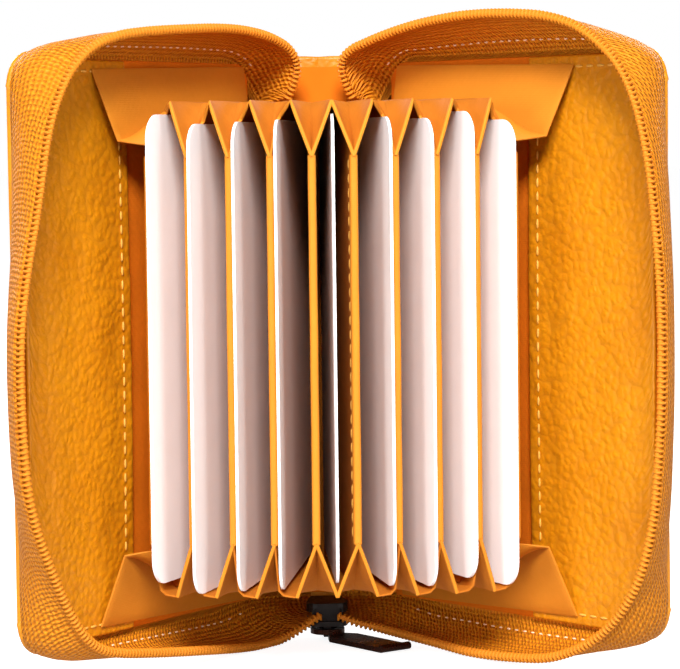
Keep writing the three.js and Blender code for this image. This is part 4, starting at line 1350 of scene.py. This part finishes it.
CAMERA_PLACE = (MIDDLE_X - 23.78, HINGE_Y - 568.96, 96.80)
CAMERA_YAW = -0.04819
CAMERA_PITCH = 0.06517
CAMERA_ROLL = 0.01206
CAMERA_LENS_SHARE = 2846.2 / 680
SENSOR_WIDTH = 36.0
FLOOR_REACH = 12.0
FLOOR_GREY = 0.45
FLOOR_GLOW = {"seen": 0.8, "light": 0.1}
WORLD_LIGHT = {"level": 0.08, "above": 0.2}
LIGHT_TARGET = (0, 0, 0.06)

# Each light's place and size in metres, and its power in watts
LIGHTS = {
    "key": ((-0.07, -1.06, 0.86), (0.5, 0.35), 35.0),
    "left_fill": ((-0.8, -1.0, 0.12), (0.4, 0.4), 8.0),
    "right_fill": ((0.8, -1.0, 0.12), (0.4, 0.4), 5.5),
    "left_rear": ((-0.5, 1.05, 0.55), (0.4, 0.4), 9.0),
    "right_rear": ((0.5, 1.05, 0.55), (0.4, 0.4), 9.0),
}


def stage_camera():
    data = bpy.data.cameras.new("photo_camera")
    data.sensor_fit = "HORIZONTAL"
    data.sensor_width = SENSOR_WIDTH
    data.lens = SENSOR_WIDTH * CAMERA_LENS_SHARE
    data.clip_start = 0.01
    data.clip_end = 50
    camera = bpy.data.objects.new("photo_camera", data)
    right = Vector((math.cos(CAMERA_YAW), math.sin(CAMERA_YAW), 0))
    ahead = Vector((-math.sin(CAMERA_YAW), math.cos(CAMERA_YAW), 0))
    level = Vector((0, 0, 1))
    forward = ahead * math.cos(CAMERA_PITCH) - level * math.sin(CAMERA_PITCH)
    up = level * math.cos(CAMERA_PITCH) + ahead * math.sin(CAMERA_PITCH)
    x = right * math.cos(CAMERA_ROLL) - up * math.sin(CAMERA_ROLL)
    y = right * math.sin(CAMERA_ROLL) + up * math.cos(CAMERA_ROLL)
    z = -forward
    turn = Matrix((x, y, z)).transposed().to_4x4()
    camera.matrix_world = Matrix.Translation(metres(CAMERA_PLACE)) @ turn
    bpy.context.scene.collection.objects.link(camera)
    bpy.context.scene.camera = camera


def area_light(name, place, size, power):
    data = bpy.data.lights.new(name, "AREA")
    data.shape = "RECTANGLE"
    data.size, data.size_y = size
    data.energy = power
    light = bpy.data.objects.new(name, data)
    light.location = place
    light.rotation_euler = (Vector(LIGHT_TARGET) - Vector(place)).to_track_quat("-Z", "Y").to_euler()
    bpy.context.scene.collection.objects.link(light)


def studio_world():
    """A white backdrop that lights the object mostly from above."""
    world = bpy.data.worlds.new("studio")
    world.use_nodes = True
    tree = world.node_tree
    place = tree.nodes.new("ShaderNodeTexCoord")
    level = linked(tree, "ShaderNodeSeparateXYZ", {0: place.outputs["Generated"]}).outputs["Z"]
    light = ranged(tree, level, 0.0, 0.6, WORLD_LIGHT["level"], WORLD_LIGHT["above"])
    seen = tree.nodes.new("ShaderNodeLightPath").outputs["Is Camera Ray"]
    back = tree.nodes["Background"]
    back.inputs["Color"].default_value = (1, 1, 1, 1)
    tree.links.new(mathed(tree, "MAXIMUM", light, seen), back.inputs["Strength"])
    return world


class CARDHOLDER_OT_stage(PieceOperator, bpy.types.Operator):
    """Set the pale floor, soft studio light and the camera"""

    bl_idname = "card_holder.stage"
    bl_label = "Studio stage"

    def execute(self, context):
        mesh = bpy.data.meshes.new("floor")
        ways = ((-1, -1), (1, -1), (1, 1), (-1, 1))
        mesh.from_pydata([(x * FLOOR_REACH, y * FLOOR_REACH, 0) for x, y in ways], [], [(0, 1, 2, 3)])
        floor = bpy.data.objects.new("floor", mesh)
        pale = bpy.data.materials.new("pale_floor")
        pale.use_nodes = True
        surface = pale.node_tree.nodes["Principled BSDF"]
        surface.inputs["Base Color"].default_value = (FLOOR_GREY, FLOOR_GREY, FLOOR_GREY, 1)
        surface.inputs["Roughness"].default_value = 0.9
        surface.inputs["Emission Color"].default_value = (1, 1, 1, 1)
        seen = pale.node_tree.nodes.new("ShaderNodeLightPath").outputs["Is Camera Ray"]
        glow = mathed(pale.node_tree, "MULTIPLY_ADD", seen, FLOOR_GLOW["seen"], FLOOR_GLOW["light"])
        pale.node_tree.links.new(glow, surface.inputs["Emission Strength"])
        mesh.materials.append(pale)
        context.scene.collection.objects.link(floor)
        context.scene.world = studio_world()
        context.scene.view_settings.view_transform = "Standard"
        context.scene.view_settings.look = "None"
        for name, (place, size, power) in LIGHTS.items():
            area_light(name, place, size, power)
        stage_camera()
        return {"FINISHED"}


PIECES = (
    CARDHOLDER_OT_leather,
    CARDHOLDER_OT_linings,
    CARDHOLDER_OT_zip,
    CARDHOLDER_OT_walls,
    CARDHOLDER_OT_pockets,
    CARDHOLDER_OT_stitching,
    CARDHOLDER_OT_cards,
    CARDHOLDER_OT_slider,
    CARDHOLDER_OT_stage,
)


class CARDHOLDER_PT_sidebar(bpy.types.Panel):
    """Lists the card holder's pieces, colours and sizes"""

    bl_idname = "CARDHOLDER_PT_sidebar"
    bl_label = "Card holder"
    bl_space_type = "VIEW_3D"
    bl_region_type = "UI"
    bl_category = "Card holder"

    def draw(self, context):
        for piece in PIECES:
            self.layout.operator(piece.bl_idname)
        for group in (context.scene.card_holder_colours, context.scene.card_holder_sizes):
            for name in group.__annotations__:
                self.layout.prop(group, name)


CLASSES = (CardHolderColours, CardHolderSizes, *PIECES, CARDHOLDER_PT_sidebar)


def register():
    for cls in CLASSES:
        bpy.utils.register_class(cls)
    bpy.types.Scene.card_holder_colours = bpy.props.PointerProperty(type=CardHolderColours)
    bpy.types.Scene.card_holder_sizes = bpy.props.PointerProperty(type=CardHolderSizes)


def unregister():
    del bpy.types.Scene.card_holder_sizes
    del bpy.types.Scene.card_holder_colours
    for cls in reversed(CLASSES):
        bpy.utils.unregister_class(cls)


def main():
    register()
    bpy.ops.card_holder.leather()
    bpy.ops.card_holder.linings()
    bpy.ops.card_holder.zip()
    bpy.ops.card_holder.walls()
    bpy.ops.card_holder.pockets()
    bpy.ops.card_holder.stitching()
    bpy.ops.card_holder.cards()
    bpy.ops.card_holder.slider()
    bpy.ops.card_holder.stage()


if __name__ == "__main__":
    main()
